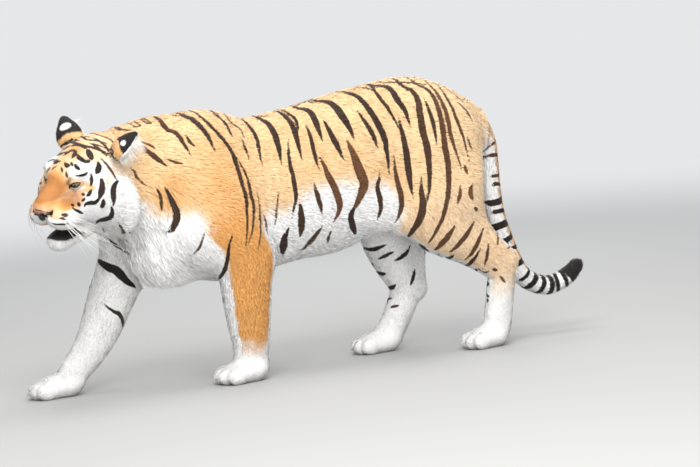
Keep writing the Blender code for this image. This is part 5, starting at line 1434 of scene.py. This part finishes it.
# ============================================================================
# materials
# ============================================================================
class Nodes:
    def __init__(self, name):
        self.mat = bpy.data.materials.new(name)
        self.mat.use_nodes = True
        self.t = self.mat.node_tree
        self.bsdf = self.t.nodes["Principled BSDF"]

    def new(self, kind, **kw):
        n = self.t.nodes.new(kind)
        for k, v in kw.items():
            setattr(n, k, v)
        return n

    def link(self, a, b):
        self.t.links.new(a, b)

    def attr(self, name):
        return self.new("ShaderNodeAttribute", attribute_name=name).outputs["Fac"]

    def math(self, op, a, b=None, clamp=False):
        n = self.new("ShaderNodeMath", operation=op, use_clamp=clamp)
        for i, v in enumerate((a, b)):
            if v is None:
                continue
            if isinstance(v, (int, float)):
                n.inputs[i].default_value = v
            else:
                self.link(v, n.inputs[i])
        return n.outputs[0]

    def ramp(self, v, a, b, lo=0.0, hi=1.0):
        n = self.new("ShaderNodeMapRange", interpolation_type='SMOOTHSTEP')
        self.link(v, n.inputs[0])
        for i, x in enumerate((a, b, lo, hi)):
            n.inputs[1 + i].default_value = x
        return n.outputs[0]

    def noise(self, scale, detail=3.0, rough=0.55, stretch=None):
        co = self.new("ShaderNodeTexCoord").outputs["Object"]
        if stretch:
            m = self.new("ShaderNodeMapping")
            m.inputs["Scale"].default_value = stretch
            self.link(co, m.inputs[0])
            co = m.outputs[0]
        n = self.new("ShaderNodeTexNoise")
        n.inputs["Scale"].default_value = scale
        n.inputs["Detail"].default_value = detail
        n.inputs["Roughness"].default_value = rough
        self.link(co, n.inputs["Vector"])
        return n.outputs[0]

    def mix(self, fac, a, b):
        n = self.new("ShaderNodeMix", data_type='RGBA', clamp_factor=True)
        f, x, y = n.inputs[0], n.inputs[6], n.inputs[7]
        for sock, v in ((f, fac), (x, a), (y, b)):
            if isinstance(v, (int, float)):
                sock.default_value = v
            elif isinstance(v, tuple):
                sock.default_value = (*v, 1) if len(v) == 3 else v
            else:
                self.link(v, sock)
        return n.outputs[2]

    def times(self, col, fac):
        """Colour made brighter or darker by a number."""
        n = self.new("ShaderNodeVectorMath", operation='SCALE')
        self.link(col, n.inputs[0])
        self.link(fac, n.inputs[3])
        return n.outputs[0]

    def bump(self, h, strength, dist):
        b = self.new("ShaderNodeBump")
        b.inputs["Strength"].default_value = strength
        b.inputs["Distance"].default_value = dist
        self.link(h, b.inputs["Height"])
        self.link(b.outputs[0], self.bsdf.inputs["Normal"])


SANDY = (0.86, 0.62, 0.36)
ORANGE = (0.74, 0.36, 0.105)
DEEP = (0.50, 0.215, 0.062)
WHITE = (0.895, 0.89, 0.88)
SOOT = (0.014, 0.011, 0.010)
BROWN = (0.17, 0.072, 0.028)


def coat_colour(m, hair):
    """Same colours on the skin and on the coat over it."""
    big = m.noise(7.0, 4.0)
    fine = m.noise(95.0, 4.0, 0.6)
    rich = m.math('ADD', m.attr("rich"), m.math('MULTIPLY', m.math('SUBTRACT', big, 0.5), 0.5))
    base = m.mix(m.ramp(rich, 0.05, 0.95), SANDY, ORANGE)
    base = m.mix(m.ramp(rich, 0.90, 1.40), base, DEEP)
    pale = m.math('ADD', m.attr("pale"), m.math('MULTIPLY', m.math('SUBTRACT', fine, 0.5), 0.30))
    base = m.mix(m.ramp(pale, 0.10, 0.88), base, WHITE)
    tone = m.attr("tone")
    dark = m.mix(tone, SOOT, BROWN)
    edge = m.math('ADD', m.attr("mark"), m.math('MULTIPLY', m.math('SUBTRACT', fine, 0.5), 0.0026))
    # faint grey streaks on the white fur: partly the fur's own grey streaks, partly painted shade among its locks
    grey = m.ramp(m.noise(16.0, 3.0, 0.6, (1.6, 1.6, 0.55)), 0.52, 0.72, 0.0, 0.30)
    grey = m.math('MULTIPLY', grey, m.ramp(pale, 0.75, 1.0))
    base = m.mix(grey, base, (0.47, 0.465, 0.47))
    col = m.mix(m.ramp(edge, -0.0012, 0.0012), base, dark)
    return col


def coat_material(name):
    m = Nodes(name)
    col = coat_colour(m, True)
    tip, rnd = m.attr("tip"), m.attr("rnd")
    # painted shade: each tuft darker at its root and brighter at its tip, plus a random brightness for each tuft
    shade = m.math('ADD', m.ramp(tip, 0.0, 0.9, 0.70, 1.05), m.math('MULTIPLY', m.math('SUBTRACT', rnd, 0.5), 0.26))
    m.link(m.times(col, shade), m.bsdf.inputs["Base Color"])
    m.bsdf.inputs["Roughness"].default_value = 0.62
    m.bsdf.inputs["Specular IOR Level"].default_value = 0.22
    m.bsdf.inputs["Sheen Weight"].default_value = 0.10
    m.bsdf.inputs["Sheen Roughness"].default_value = 0.5
    return m.mat


def skin_material():
    m = Nodes("skin")
    col = coat_colour(m, False)
    # near-black for naked dark skin and for the painted shade inside the mouth and under the nose piece
    bare_skin_and_shade = m.mix(m.attr("pink"), (0.010, 0.008, 0.008), (0.26, 0.075, 0.060))
    col = m.mix(m.attr("bare_skin_and_shade"), col, bare_skin_and_shade)
    m.link(col, m.bsdf.inputs["Base Color"])
    m.link(m.ramp(m.attr("bare_skin_and_shade"), 0.3, 0.9, 0.72, 0.36), m.bsdf.inputs["Roughness"])
    m.bsdf.inputs["Specular IOR Level"].default_value = 0.35
    m.bump(m.noise(260.0, 4.0, 0.65), 0.35, 0.0014)
    return m.mat


def nose_material():
    m = Nodes("nose_leather")
    d = m.attr("dark")
    spots = m.ramp(m.noise(150.0, 3.0, 0.6), 0.55, 0.70)
    col = m.mix(m.math('MULTIPLY', spots, 0.55), (0.30, 0.125, 0.085), (0.09, 0.040, 0.030))
    # near-black where the dark field is high: painted shade in the nostrils, and the pad's darker lower part and sides
    col = m.mix(d, col, (0.012, 0.009, 0.009))
    m.link(col, m.bsdf.inputs["Base Color"])
    m.bsdf.inputs["Roughness"].default_value = 0.38
    m.bsdf.inputs["Coat Weight"].default_value = 0.15
    v = m.new("ShaderNodeTexVoronoi")
    v.inputs["Scale"].default_value = 620.0
    m.link(m.new("ShaderNodeTexCoord").outputs["Object"], v.inputs["Vector"])
    m.bump(v.outputs["Distance"], 0.35, 0.0008)
    return m.mat


def eye_material():
    m = Nodes("eye")
    r = m.attr("ring")      # 0 at the middle of the pupil, 1 at the edge of the iris
    streak = m.noise(260.0, 3.0, 0.6)
    iris = m.mix(m.ramp(streak, 0.35, 0.70), (0.16, 0.125, 0.045), (0.34, 0.28, 0.12))
    iris = m.mix(m.ramp(r, 0.70, 1.0), iris, (0.050, 0.035, 0.015))
    col = m.mix(m.ramp(r, 1.0, 1.10), iris, (0.50, 0.44, 0.38))
    col = m.mix(m.ramp(r, 0.36, 0.30), col, (0.004, 0.004, 0.004))
    m.link(col, m.bsdf.inputs["Base Color"])
    m.bsdf.inputs["Roughness"].default_value = 0.12
    m.bsdf.inputs["Coat Weight"].default_value = 1.0
    m.bsdf.inputs["Coat Roughness"].default_value = 0.02
    return m.mat


def plain_hair_material(name, colour, rough=0.4):
    m = Nodes(name)
    n = m.noise(60.0, 2.0)
    m.link(m.mix(n, tuple(0.82 * c for c in colour), colour), m.bsdf.inputs["Base Color"])
    m.bsdf.inputs["Roughness"].default_value = rough
    return m.mat


def claw_material():
    m = Nodes("claw")
    n = m.noise(120.0, 3.0, 0.5, (1, 1, 0.2))
    m.link(m.mix(m.ramp(n, 0.3, 0.7), (0.30, 0.26, 0.20), (0.52, 0.47, 0.38)), m.bsdf.inputs["Base Color"])
    m.bsdf.inputs["Roughness"].default_value = 0.35
    return m.mat


# ============================================================================
# make the pieces
# ============================================================================
make_strokes()
skin = make_skin()
tick("skin mesh %d points, %d faces" % (len(skin.vertices), len(skin.polygons)))
SV = verts(skin)
SN = normals_of(skin)
fields, _r = paint(SV, SN)
for k, v in fields.items():
    if k != "stripe":
        put(skin, k, v)
tick("painted")
uv, u_start, u_total, u_loop = unwrap(skin)
tick("unwrapped")


# ---- tufts ------------------------------------------------------------------
def sample_roots():
    """Places spread over the skin as thickly as coat_shape says, from the skin's triangles."""
    skin.calc_loop_triangles()
    nt = len(skin.loop_triangles)
    tl = np.empty(nt * 3, np.int32)
    skin.loop_triangles.foreach_get("loops", tl)
    tl = tl.reshape(-1, 3)
    tv = u_loop[tl]
    A, B, C = SV[tv[:, 0]], SV[tv[:, 1]], SV[tv[:, 2]]
    area = 0.5 * np.linalg.norm(np.cross(B - A, C - A), axis=1)
    mid = (A + B + C) / 3
    mn = unit(SN[tv[:, 0]] + SN[tv[:, 1]] + SN[tv[:, 2]])
    _, _, _, rho = coat_shape(mid, mn, regions(mid))
    bare_skin_and_shade = fields['bare_skin_and_shade'][tv].mean(1)
    q = to_head(mid)
    rho = rho * (1 - smooth(0.35, 0.6, bare_skin_and_shade))
    # the nose piece and the eyeballs carry no hair
    rho = np.where(np.linalg.norm((q - np.array((0.168, 0, -0.006))) / np.array((0.026, 0.029, 0.0165)), axis=1) < 1, 0, rho)
    want = area * rho * TUFT_SHARE
    rng = np.random.default_rng(7)
    count = np.floor(want + rng.random(nt)).astype(int)
    tri = np.repeat(np.arange(nt), count)
    k = rng.random((len(tri), 2))
    flip = k.sum(1) > 1
    k[flip] = 1 - k[flip]
    w = np.column_stack((1 - k.sum(1), k))
    v = tv[tri]
    p = (SV[v] * w[:, :, None]).sum(1)
    n = unit((SN[v] * w[:, :, None]).sum(1))
    t_uv = (uv[tl[tri]] * w[:, :, None]).sum(1)
    return p, n, t_uv, rng


P, N, ROOT_UV, RNG = sample_roots()
tick("%d roots" % len(P))
R = regions(P)
T = lie(P, N, R)
L, W, HGT, _ = coat_shape(P, N, R)
tick("laid")
jit = RNG.normal(size=(len(P), 4))
L = L * np.clip(1 + 0.16 * jit[:, 0], 0.55, 1.5)
# neighbouring tufts lean together in locks
lock = np.stack([noise(P, 42.0, k) for k in (51, 52, 53)], 1) * 0.20 + RNG.normal(size=(len(P), 3)) * 0.11
T2 = T + lock
T2 = unit(T2 - N * (T2 * N).sum(1)[:, None])
S = np.cross(N, T2)
roll = np.clip(RNG.normal(size=len(P)) * 0.38, -0.9, 0.9)
S = unit(S * np.cos(roll)[:, None] + N * np.sin(roll)[:, None])
lift = HGT * np.clip(1 + 0.22 * jit[:, 1], 0.45, 1.35)
tuft_fields, _r = paint(P + T2 * (L * 0.20)[:, None], N)
near_in = tuft_fields['stripe']
mid_in, mid_tone = stripes(P + T2 * (L * 0.50)[:, None], N)
far_in, far_tone = stripes(P + T2 * (L * 0.85)[:, None], N)
special = np.abs(tuft_fields['mark'] - near_in) > 1e-5          # ears, eye rims and lips, which no stripe draws
down_slope = np.where(special, 0.0, np.clip((mid_in - near_in) / 0.30, -0.04, 0.04))
up_slope = np.where(special, 0.0, np.clip((far_in - mid_in) / 0.35, -0.04, 0.04))
mid_mark = np.where(special, tuft_fields['mark'], mid_in)
best_of = np.argmax(np.stack((near_in, mid_in, far_in)), 0)
tuft_fields['tone'] = np.where(special | (best_of == 0), tuft_fields['tone'], np.where(best_of == 1, mid_tone, far_tone))
tick("tufts painted")


def build_tufts(name, pick, rows, mat, slot):
    """Strips of `rows` cross bars and a tip, one for each root picked."""
    n = len(pick)
    p, nn, t, s = P[pick], N[pick], T2[pick], S[pick]
    l, w, h = L[pick][:, None], W[pick][:, None], lift[pick][:, None]
    per = rows * 2 + 1
    V = np.empty((n, per, 3))
    tip = np.empty((n, per))
    nrm = np.empty((n, per, 3))
    base_n = unit(nn + 0.22 * RNG.normal(size=(n, 3)))
    for k in range(rows + 1):
        a = k / rows
        rise = h * (1 - (1 - a) ** 2.2) - 0.0012 * (k == 0)
        at = p + t * (l * a) + nn * rise - nn * (0.25 * h * a**4)
        half = 0.5 * w * (1.0 if k == 0 else (1 - 0.55 * a * a))
        if k < rows:
            V[:, 2 * k] = at - s * half
            V[:, 2 * k + 1] = at + s * half
            tip[:, 2 * k] = tip[:, 2 * k + 1] = a
            lean = unit(base_n + t * 0.18 * a)
            nrm[:, 2 * k] = unit(lean - s * 0.25)
            nrm[:, 2 * k + 1] = unit(lean + s * 0.25)
        else:
            V[:, -1] = at
            tip[:, -1] = 1.0
            nrm[:, -1] = unit(base_n + t * 0.18)
    V[:, :, 2] = np.maximum(V[:, :, 2], 0.0005)
    base = np.arange(n)[:, None] * per
    quads = [np.concatenate((base + 2 * k + 1, base + 2 * k, base + 2 * k + 2, base + 2 * k + 3), 1) for k in range(rows - 1)]
    tris = np.concatenate((base + 2 * rows - 1, base + 2 * rows - 2, base + 2 * rows), 1)
    faces = ([np.concatenate(quads)] if quads else []) + [tris]
    me = mesh_of(name, (V + SHIFT).reshape(-1, 3), faces)
    mark = mid_mark[pick][:, None] + np.where(tip < 0.5, down_slope[pick][:, None], up_slope[pick][:, None]) * (tip - 0.5) + (RND[pick][:, None] - 0.5) * 0.0012
    put(me, "mark", mark.ravel())
    for k in ("tone", "pale", "rich"):
        put(me, k, np.repeat(tuft_fields[k][pick], per))
    put(me, "tip", tip.ravel())
    put(me, "rnd", np.repeat(RND[pick], per))
    # each tuft is a small patch at its root's place on the skin's map
    lv = np.concatenate([f.ravel() for f in faces])
    side = np.tile(np.array([(-1 if i % 2 == 0 else 1) for i in range(per - 1)] + [0]), n)
    du = side * 0.0015
    dv = (tip.ravel() - 0.5) * 0.003
    spot = np.repeat(ROOT_UV[pick], per, axis=0) + np.column_stack((du, dv))
    layer = me.uv_layers.new(name="OFBake")
    layer.data.foreach_set("uv", spot[lv].astype(np.float32).ravel())
    me.normals_split_custom_set_from_vertices(nrm.reshape(-1, 3).astype(np.float32))
    place(name, me, mat, slot)
    return n * (2 * rows - 1)


RND = RNG.random(len(P))
coat_mat = coat_material("coat")
total = 0
region = np.zeros(len(P), int)
region[(R['leg'] > 0.5)] = 1
region[R['tail'] > 0.5] = 2
region[R['head'] > 0.5] = 3
names = {0: ("coat_body", "coat_orange"), 1: ("coat_legs", "coat_pale"), 2: ("coat_tail", "coat_tail"), 3: ("coat_head", "coat_head")}
long_tuft = L > 0.032
for rg, (nm, slot) in names.items():
    for long_ in (False, True):
        rows = 3 if long_ else 2
        pick = np.flatnonzero((region == rg) & (long_tuft == long_))
        if not len(pick):
            continue
        pick = pick[np.argsort(P[pick, 1], kind='stable')]
        most = 190000 // (2 * rows - 1)
        parts = int(np.ceil(len(pick) / most))
        for i, part in enumerate(np.array_split(pick, parts)):
            total += build_tufts("%s_%s_%d" % (nm, "long" if long_ else "short", i + 1), part, rows, coat_mat, slot)
tick("%d tuft triangles" % total)

# ---- skin object ------------------------------------------------------------
skin.vertices.foreach_set("co", (SV + SHIFT).astype(np.float32).ravel())
skin.update()
FLESH = [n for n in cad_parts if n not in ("eye_left", "eye_right", "nose")]
place("skin", skin, skin_material(), "coat_orange", FLESH)


# ---- eyes -------------------------------------------------------------------
def ball(radius, rows=48, cols=64):
    """A globe whose pole is along the gaze; the cornea stands a little proud."""
    V, ring = [], []
    for i in range(rows + 1):
        a = math.pi * i / rows
        bulge = 1 + 0.045 * math.exp(-(a / 0.42) ** 2)
        for j in range(cols):
            b = 2 * math.pi * j / cols
            V.append((cos(a) * radius * bulge, sin(a) * cos(b) * radius * bulge, sin(a) * sin(b) * radius * bulge))
            ring.append(a / 0.62)
    V, ring = np.array(V), np.array(ring)
    quads = []
    for i in range(rows):
        for j in range(cols):
            quads.append((i * cols + j, (i + 1) * cols + j, (i + 1) * cols + (j + 1) % cols, i * cols + (j + 1) % cols))
    return V, ring, np.array(quads)


eye_mat = eye_material()
for s, name in ((1, "left"), (-1, "right")):
    V, ring, Q = ball(EYE_R)
    # both eyes look ahead and a little down
    gaze = EYE_M[s].copy()
    g = unit(gaze[:, 0] + HEAD_R[:, 0] * 0.10 - HEAD_R[:, 2] * 0.10)
    up = unit(HEAD_R[:, 2] - g * (HEAD_R[:, 2] @ g))
    M = np.stack((g, np.cross(up, g), up), 1)
    me = mesh_of("eyeball_" + name, EYE_AT[s] + V @ M.T + SHIFT, [Q])
    import bmesh
    bm = bmesh.new()
    bm.from_mesh(me)
    lay = None
    bmesh.ops.remove_doubles(bm, verts=bm.verts, dist=1e-6)
    bmesh.ops.recalc_face_normals(bm, faces=bm.faces)
    bm.to_mesh(me)
    bm.free()
    co = (verts(me) - SHIFT - EYE_AT[s]) @ M
    ang = np.arccos(np.clip(co[:, 0] / np.maximum(np.linalg.norm(co, axis=1), 1e-9), -1, 1))
    put(me, "ring", ang / 0.62)
    place("eyeball_" + name, me, eye_mat, "eye_gloss", ["eye_" + name])


# ---- nose -------------------------------------------------------------------
def nose_field(p, reach=0.05):
    q = to_head(p)
    f, l, u = q.T
    al = np.abs(l)

    def e(c, r, rot=0.0):
        x, y, z = f - c[0], al - c[1], u - c[2]
        if rot:
            y, z = y * cos(rot) + z * sin(rot), z * cos(rot) - y * sin(rot)
        k0 = np.sqrt((x / r[0]) ** 2 + (y / r[1]) ** 2 + (z / r[2]) ** 2) + 1e-9
        k1 = np.sqrt((x / r[0] ** 2) ** 2 + (y / r[1] ** 2) ** 2 + (z / r[2] ** 2) ** 2) + 1e-9
        return k0 * (k0 - 1) / k1

    d = e((0.159, 0, -0.005), (0.0275, 0.0265, 0.0160))
    d = smin(d, e((0.162, 0.018, -0.008), (0.021, 0.0150, 0.0140)), 0.008)
    d = smin(d, e((0.166, 0.0, -0.023), (0.0135, 0.0085, 0.014)), 0.008)
    # nostrils, running out and back into a slit
    hole = e((0.184, 0.0145, -0.0105), (0.013, 0.0080, 0.0052), 0.45)
    slit = e((0.174, 0.0265, -0.0125), (0.012, 0.0090, 0.0030), -0.15)
    cut = smin(hole, slit, 0.004)
    d = -smin(-d, cut, 0.0022)
    line = e((0.182, 0.0, -0.020), (0.010, 0.0016, 0.016))
    d = -smin(-d, line, 0.002)
    return d * HEAD_SIZE, cut, u, al, f


nh = 0.0017
c0 = hp(0.160, 0, -0.004)
V, Q = surface(nh, field=lambda p, reach=0.05: nose_field(p)[0], lo=c0 - 0.055, hi=c0 + 0.055)
V = settle(V, lambda p: nose_field(p)[0], 2, eps=0.0004)
d_, cut_, u_, al_, f_ = nose_field(V)
me = mesh_of("nose_pad", V + SHIFT, [Q])
# painted shade: near-black in and round the nostrils' hollows; darker too along the pad's lower part and its outer
# sides
dark = np.maximum(smooth(0.0060, 0.0008, cut_), smooth(0.002, -0.012, u_ + 0.15 * al_))
dark = np.maximum(dark, smooth(0.0240, 0.0300, al_) * smooth(0.014, 0.004, u_))
put(me, "dark", dark)
place("nose_pad", me, nose_material(), "nose_skin", ["nose"])
tick("eyes and nose")


# ---- whiskers ----------------------------------------------------------------
def hairs(name, items, mat, slot, sides=4, n=9):
    Vs, Fs, ends, base = [], [], [], 0
    for a, d0, bend, length, r0 in items:
        t = np.linspace(0, 1, n)
        line = a + (d0 * length) * t[:, None] + bend * length * (t**2)[:, None]
        tan = unit(np.gradient(line, axis=0))
        u0 = unit(np.cross(tan, np.array((0.3, 0.2, 1.0))))
        w0 = np.cross(tan, u0)
        for k in range(n):
            r = r0 * (1 - t[k]) ** 0.7 + 0.00008
            for s in range(sides):
                b = 2 * math.pi * s / sides
                Vs.append(line[k] + (u0[k] * cos(b) + w0[k] * sin(b)) * r)
        for k in range(n - 1):
            for s in range(sides):
                s2 = (s + 1) % sides
                Fs.append((base + k * sides + s, base + k * sides + s2, base + (k + 1) * sides + s2, base + (k + 1) * sides + s))
        ends.append(tuple(base + s for s in range(sides))[::-1])
        ends.append(tuple(base + (n - 1) * sides + s for s in range(sides)))
        base += n * sides
    me = mesh_of(name, np.array(Vs) + SHIFT, [np.array(Fs), np.array(ends)])
    return place(name, me, mat, slot)


def on_skin(q, d):
    """The skin's surface from a head point, out along a head direction."""
    a, v = hp(*q), HEAD_R @ unit(np.array(d, float))
    t = np.linspace(-0.02, 0.05, 141)
    f = skin_field(a + t[:, None] * v)
    k = np.flatnonzero(f > 0)
    return a + v * (t[k[0]] if len(k) else 0.0)


rng = np.random.default_rng(21)
items = []
for s in (1, -1):
    for row in range(6):
        for col in range(7):
            f = 0.152 - 0.011 * col - 0.004 * row
            u = -0.020 - 0.0078 * row + rng.normal() * 0.0015
            root = on_skin((f, 0.030 * s, u), (0.15, s, -0.05))
            d = unit(np.array((-0.15 - 0.20 * col + 0.12 * rng.normal(), s * (0.85 + 0.1 * rng.normal()), -0.42 - 0.12 * row + 0.12 * rng.normal())))
            bend = np.array((-0.42, -0.12 * s, -0.30)) + 0.10 * rng.normal(size=3)
            length = (0.060 + 0.018 * col + 0.010 * row) * (1 + 0.15 * rng.normal())
            items.append((root - HEAD_R @ (d * 0.002), HEAD_R @ d, HEAD_R @ bend, float(np.clip(length, 0.04, 0.165)), 0.00105))
hairs("whiskers", items, plain_hair_material("whisker", (0.92, 0.90, 0.86), 0.35), "coat_white")


# ---- long white hair inside the ears ----------------------------------------
items = []
for s, (c, m) in EARS.items():
    for k in range(260):
        x = rng.uniform(-0.030, 0.030)
        z = rng.uniform(-0.038, 0.026)
        q = c + m @ np.array((x, 0.004, z))
        d = m @ unit(np.array((0.55 * np.sign(x) * abs(x) / 0.03 + 0.15 * rng.normal(), 0.50 + 0.2 * rng.normal(), 0.45 + 0.2 * rng.normal())))
        b = m @ np.array((0, 0.15, -0.25))
        items.append((hp(*q), HEAD_R @ d, HEAD_R @ b, float(rng.uniform(0.016, 0.034)), 0.00075))
    if s == 1:
        # long fringe at the rear edge of the near ear
        for k in range(170):
            z = rng.uniform(-0.042, 0.050)
            for x in (-0.036, 0.036):
                wide = math.sqrt(max(0.0, 1 - ((z + 0.004) / 0.062) ** 2))
                q = c + m @ np.array((x * wide * 0.92, 0.010 * rng.random(), z))
                d = m @ unit(np.array((0.35 * np.sign(x) + 0.15 * rng.normal(), 0.45 + 0.2 * rng.normal(), 0.25 - 0.35 * rng.random())))
                items.append((hp(*q), HEAD_R @ d, HEAD_R @ np.array((-0.2, 0, -0.55)), float(rng.uniform(0.018, 0.040)), 0.0008))
hairs("ear_hair", items, plain_hair_material("ear_hair", (0.88, 0.85, 0.80), 0.6), "coat_ear", sides=3, n=4)


# ---- claws ------------------------------------------------------------------
def claws():
    Vs, Fs, base = [], [], 0
    for x, y, heading, wide, long in ((0.128, -0.412, 6, 1.10, 1.06), (-0.124, -0.998, -4, 1.06, 1.06), (0.126, 0.525, 4, 1.0, 1.0), (-0.120, 0.205, -2, 1.0, 1.0)):
        a = radians(heading)
        f, s = np.array((sin(a), -cos(a), 0)), np.array((cos(a), sin(a), 0))
        for dx, df in ((-0.044, 0.076), (-0.0155, 0.094), (0.0155, 0.094), (0.044, 0.076)):
            o = np.array((x, y, 0.0)) + f * (df + 0.024) * long + s * dx * wide + np.array((0, 0, 0.024))
            n, sides = 8, 8
            t = np.linspace(0, 1, n)
            line = o + f * (0.016 * np.sin(t * 1.5))[:, None] + np.array((0, 0, -1.0)) * (0.012 * (1 - np.cos(t * 1.5)))[:, None]
            tan = unit(np.gradient(line, axis=0))
            for k in range(n):
                up = np.cross(s, tan[k])
                r = 0.0030 * (1 - t[k]) ** 0.6 + 0.0002
                for j in range(sides):
                    b = 2 * math.pi * j / sides
                    Vs.append(line[k] + s * cos(b) * r * 0.6 + up * sin(b) * r)
            for k in range(n - 1):
                for j in range(sides):
                    j2 = (j + 1) % sides
                    Fs.append((base + k * sides + j, base + k * sides + j2, base + (k + 1) * sides + j2, base + (k + 1) * sides + j))
            base += n * sides
    V = np.array(Vs)
    V[:, 2] = np.maximum(V[:, 2], 0.0008)
    me = mesh_of("claws", V + SHIFT, [np.array(Fs)])
    import bmesh
    bm = bmesh.new()
    bm.from_mesh(me)
    bmesh.ops.holes_fill(bm, edges=[e for e in bm.edges if e.is_boundary], sides=0)
    bmesh.ops.recalc_face_normals(bm, faces=bm.faces)
    bm.to_mesh(me)
    bm.free()
    me.polygons.foreach_set("use_smooth", np.ones(len(me.polygons), bool))
    place("claws", me, claw_material(), "coat_pale")


claws()
tick("hairs and claws")

# ============================================================================
# studio
# ============================================================================
scene = bpy.context.scene
scene.view_settings.view_transform = 'Standard'
scene.view_settings.look = 'None'

floor = bpy.data.meshes.new("floor")
ring_r = [0.0, 2.0, 5.0, 12.0, 40.0, 120.0]
V = [(0.0, 0.0, 0.0)]
F3, F4 = [], []
for r in ring_r[1:]:
    for k in range(64):
        V.append((r * cos(2 * math.pi * k / 64), r * sin(2 * math.pi * k / 64), 0.0))
for k in range(64):
    F3.append((0, 1 + k, 1 + (k + 1) % 64))
for i in range(len(ring_r) - 2):
    for k in range(64):
        a, b = 1 + i * 64 + k, 1 + i * 64 + (k + 1) % 64
        F4.append((a, a + 64, b + 64, b))
me = mesh_of("floor", np.array(V), [np.array(F4), np.array(F3)])
fl = Nodes("floor")
WALL = (0.79, 0.80, 0.81)
fl.bsdf.inputs["Roughness"].default_value = 1.0
fl.bsdf.inputs["Specular IOR Level"].default_value = 0.0
fl.bsdf.inputs["Base Color"].default_value = (0.355, 0.355, 0.351, 1)
geo = fl.new("ShaderNodeNewGeometry")
ln = fl.new("ShaderNodeVectorMath", operation='LENGTH')
fl.link(geo.outputs["Position"], ln.inputs[0])
em = fl.new("ShaderNodeEmission")
em.inputs[0].default_value = (*WALL, 1)
em.inputs[1].default_value = 1.0
mx = fl.new("ShaderNodeMixShader")
fl.link(fl.ramp(ln.outputs["Value"], 1.6, 9.0), mx.inputs[0])
fl.link(fl.bsdf.outputs[0], mx.inputs[1])
fl.link(em.outputs[0], mx.inputs[2])
out = next(n for n in fl.t.nodes if n.type == 'OUTPUT_MATERIAL')
fl.link(mx.outputs[0], out.inputs[0])
fo = bpy.data.objects.new("floor", me)
scene.collection.objects.link(fo)
me.materials.append(fl.mat)

world = bpy.data.worlds.new("studio")
scene.world = world
world.use_nodes = True
world.node_tree.nodes["Background"].inputs[0].default_value = (*WALL, 1)
world.node_tree.nodes["Background"].inputs[1].default_value = 1.0


def area(name, at, to, size, power, colour=(1, 1, 1)):
    li = bpy.data.lights.new(name, 'AREA')
    li.shape = 'RECTANGLE'
    li.size, li.size_y = size
    li.energy = power
    li.color = colour
    ob = bpy.data.objects.new(name, li)
    scene.collection.objects.link(ob)
    ob.location = at
    ob.rotation_euler = (Vector(at) - Vector(to)).to_track_quat('Z', 'Y').to_euler()
    return ob


area("key", (3.4, -1.3, 4.1), (0, 0.1, 0.5), (3.0, 3.0), 258, (1.0, 0.985, 0.965))
area("top", (-0.2, 0.4, 4.6), (0, 0, 0.6), (3.0, 3.6), 130)
area("front", (4.9, -0.9, 1.2), (0, 0.1, 0.5), (2.8, 1.8), 96)
area("back", (-3.6, 1.6, 2.6), (0, 0, 0.6), (2.0, 2.4), 60, (0.97, 0.98, 1.0))

# ---- camera, at the side and a little above, tilted a few degrees -------------
CAM_AZ, CAM_EL, CAM_ROLL, CAM_FAR, CAM_LENS = 67.0, 5.0, 4.8, 9.0, 130.5
CAM_AIM = np.array((0.0, 0.05, 0.452)) + SHIFT
az, el, ro = radians(CAM_AZ), radians(CAM_EL), radians(CAM_ROLL)
back = np.array((sin(az) * cos(el), -cos(az) * cos(el), sin(el)))
right = unit(np.cross(-back, np.array((0, 0, 1.0))))
up = np.cross(right, -back)
right, up = cos(ro) * right - sin(ro) * up, sin(ro) * right + cos(ro) * up
cam_data = bpy.data.cameras.new("camera")
cam_data.lens = CAM_LENS
cam_data.sensor_width = 36.0
cam_data.clip_end = 400.0
cam = bpy.data.objects.new("camera", cam_data)
scene.collection.objects.link(cam)
place_at = CAM_AIM + back * CAM_FAR
cam.matrix_world = Matrix([[right[i], up[i], back[i], place_at[i]] for i in range(3)] + [[0, 0, 0, 1]])
scene.camera = cam

bpy.context.view_layer.update()
tick("done")
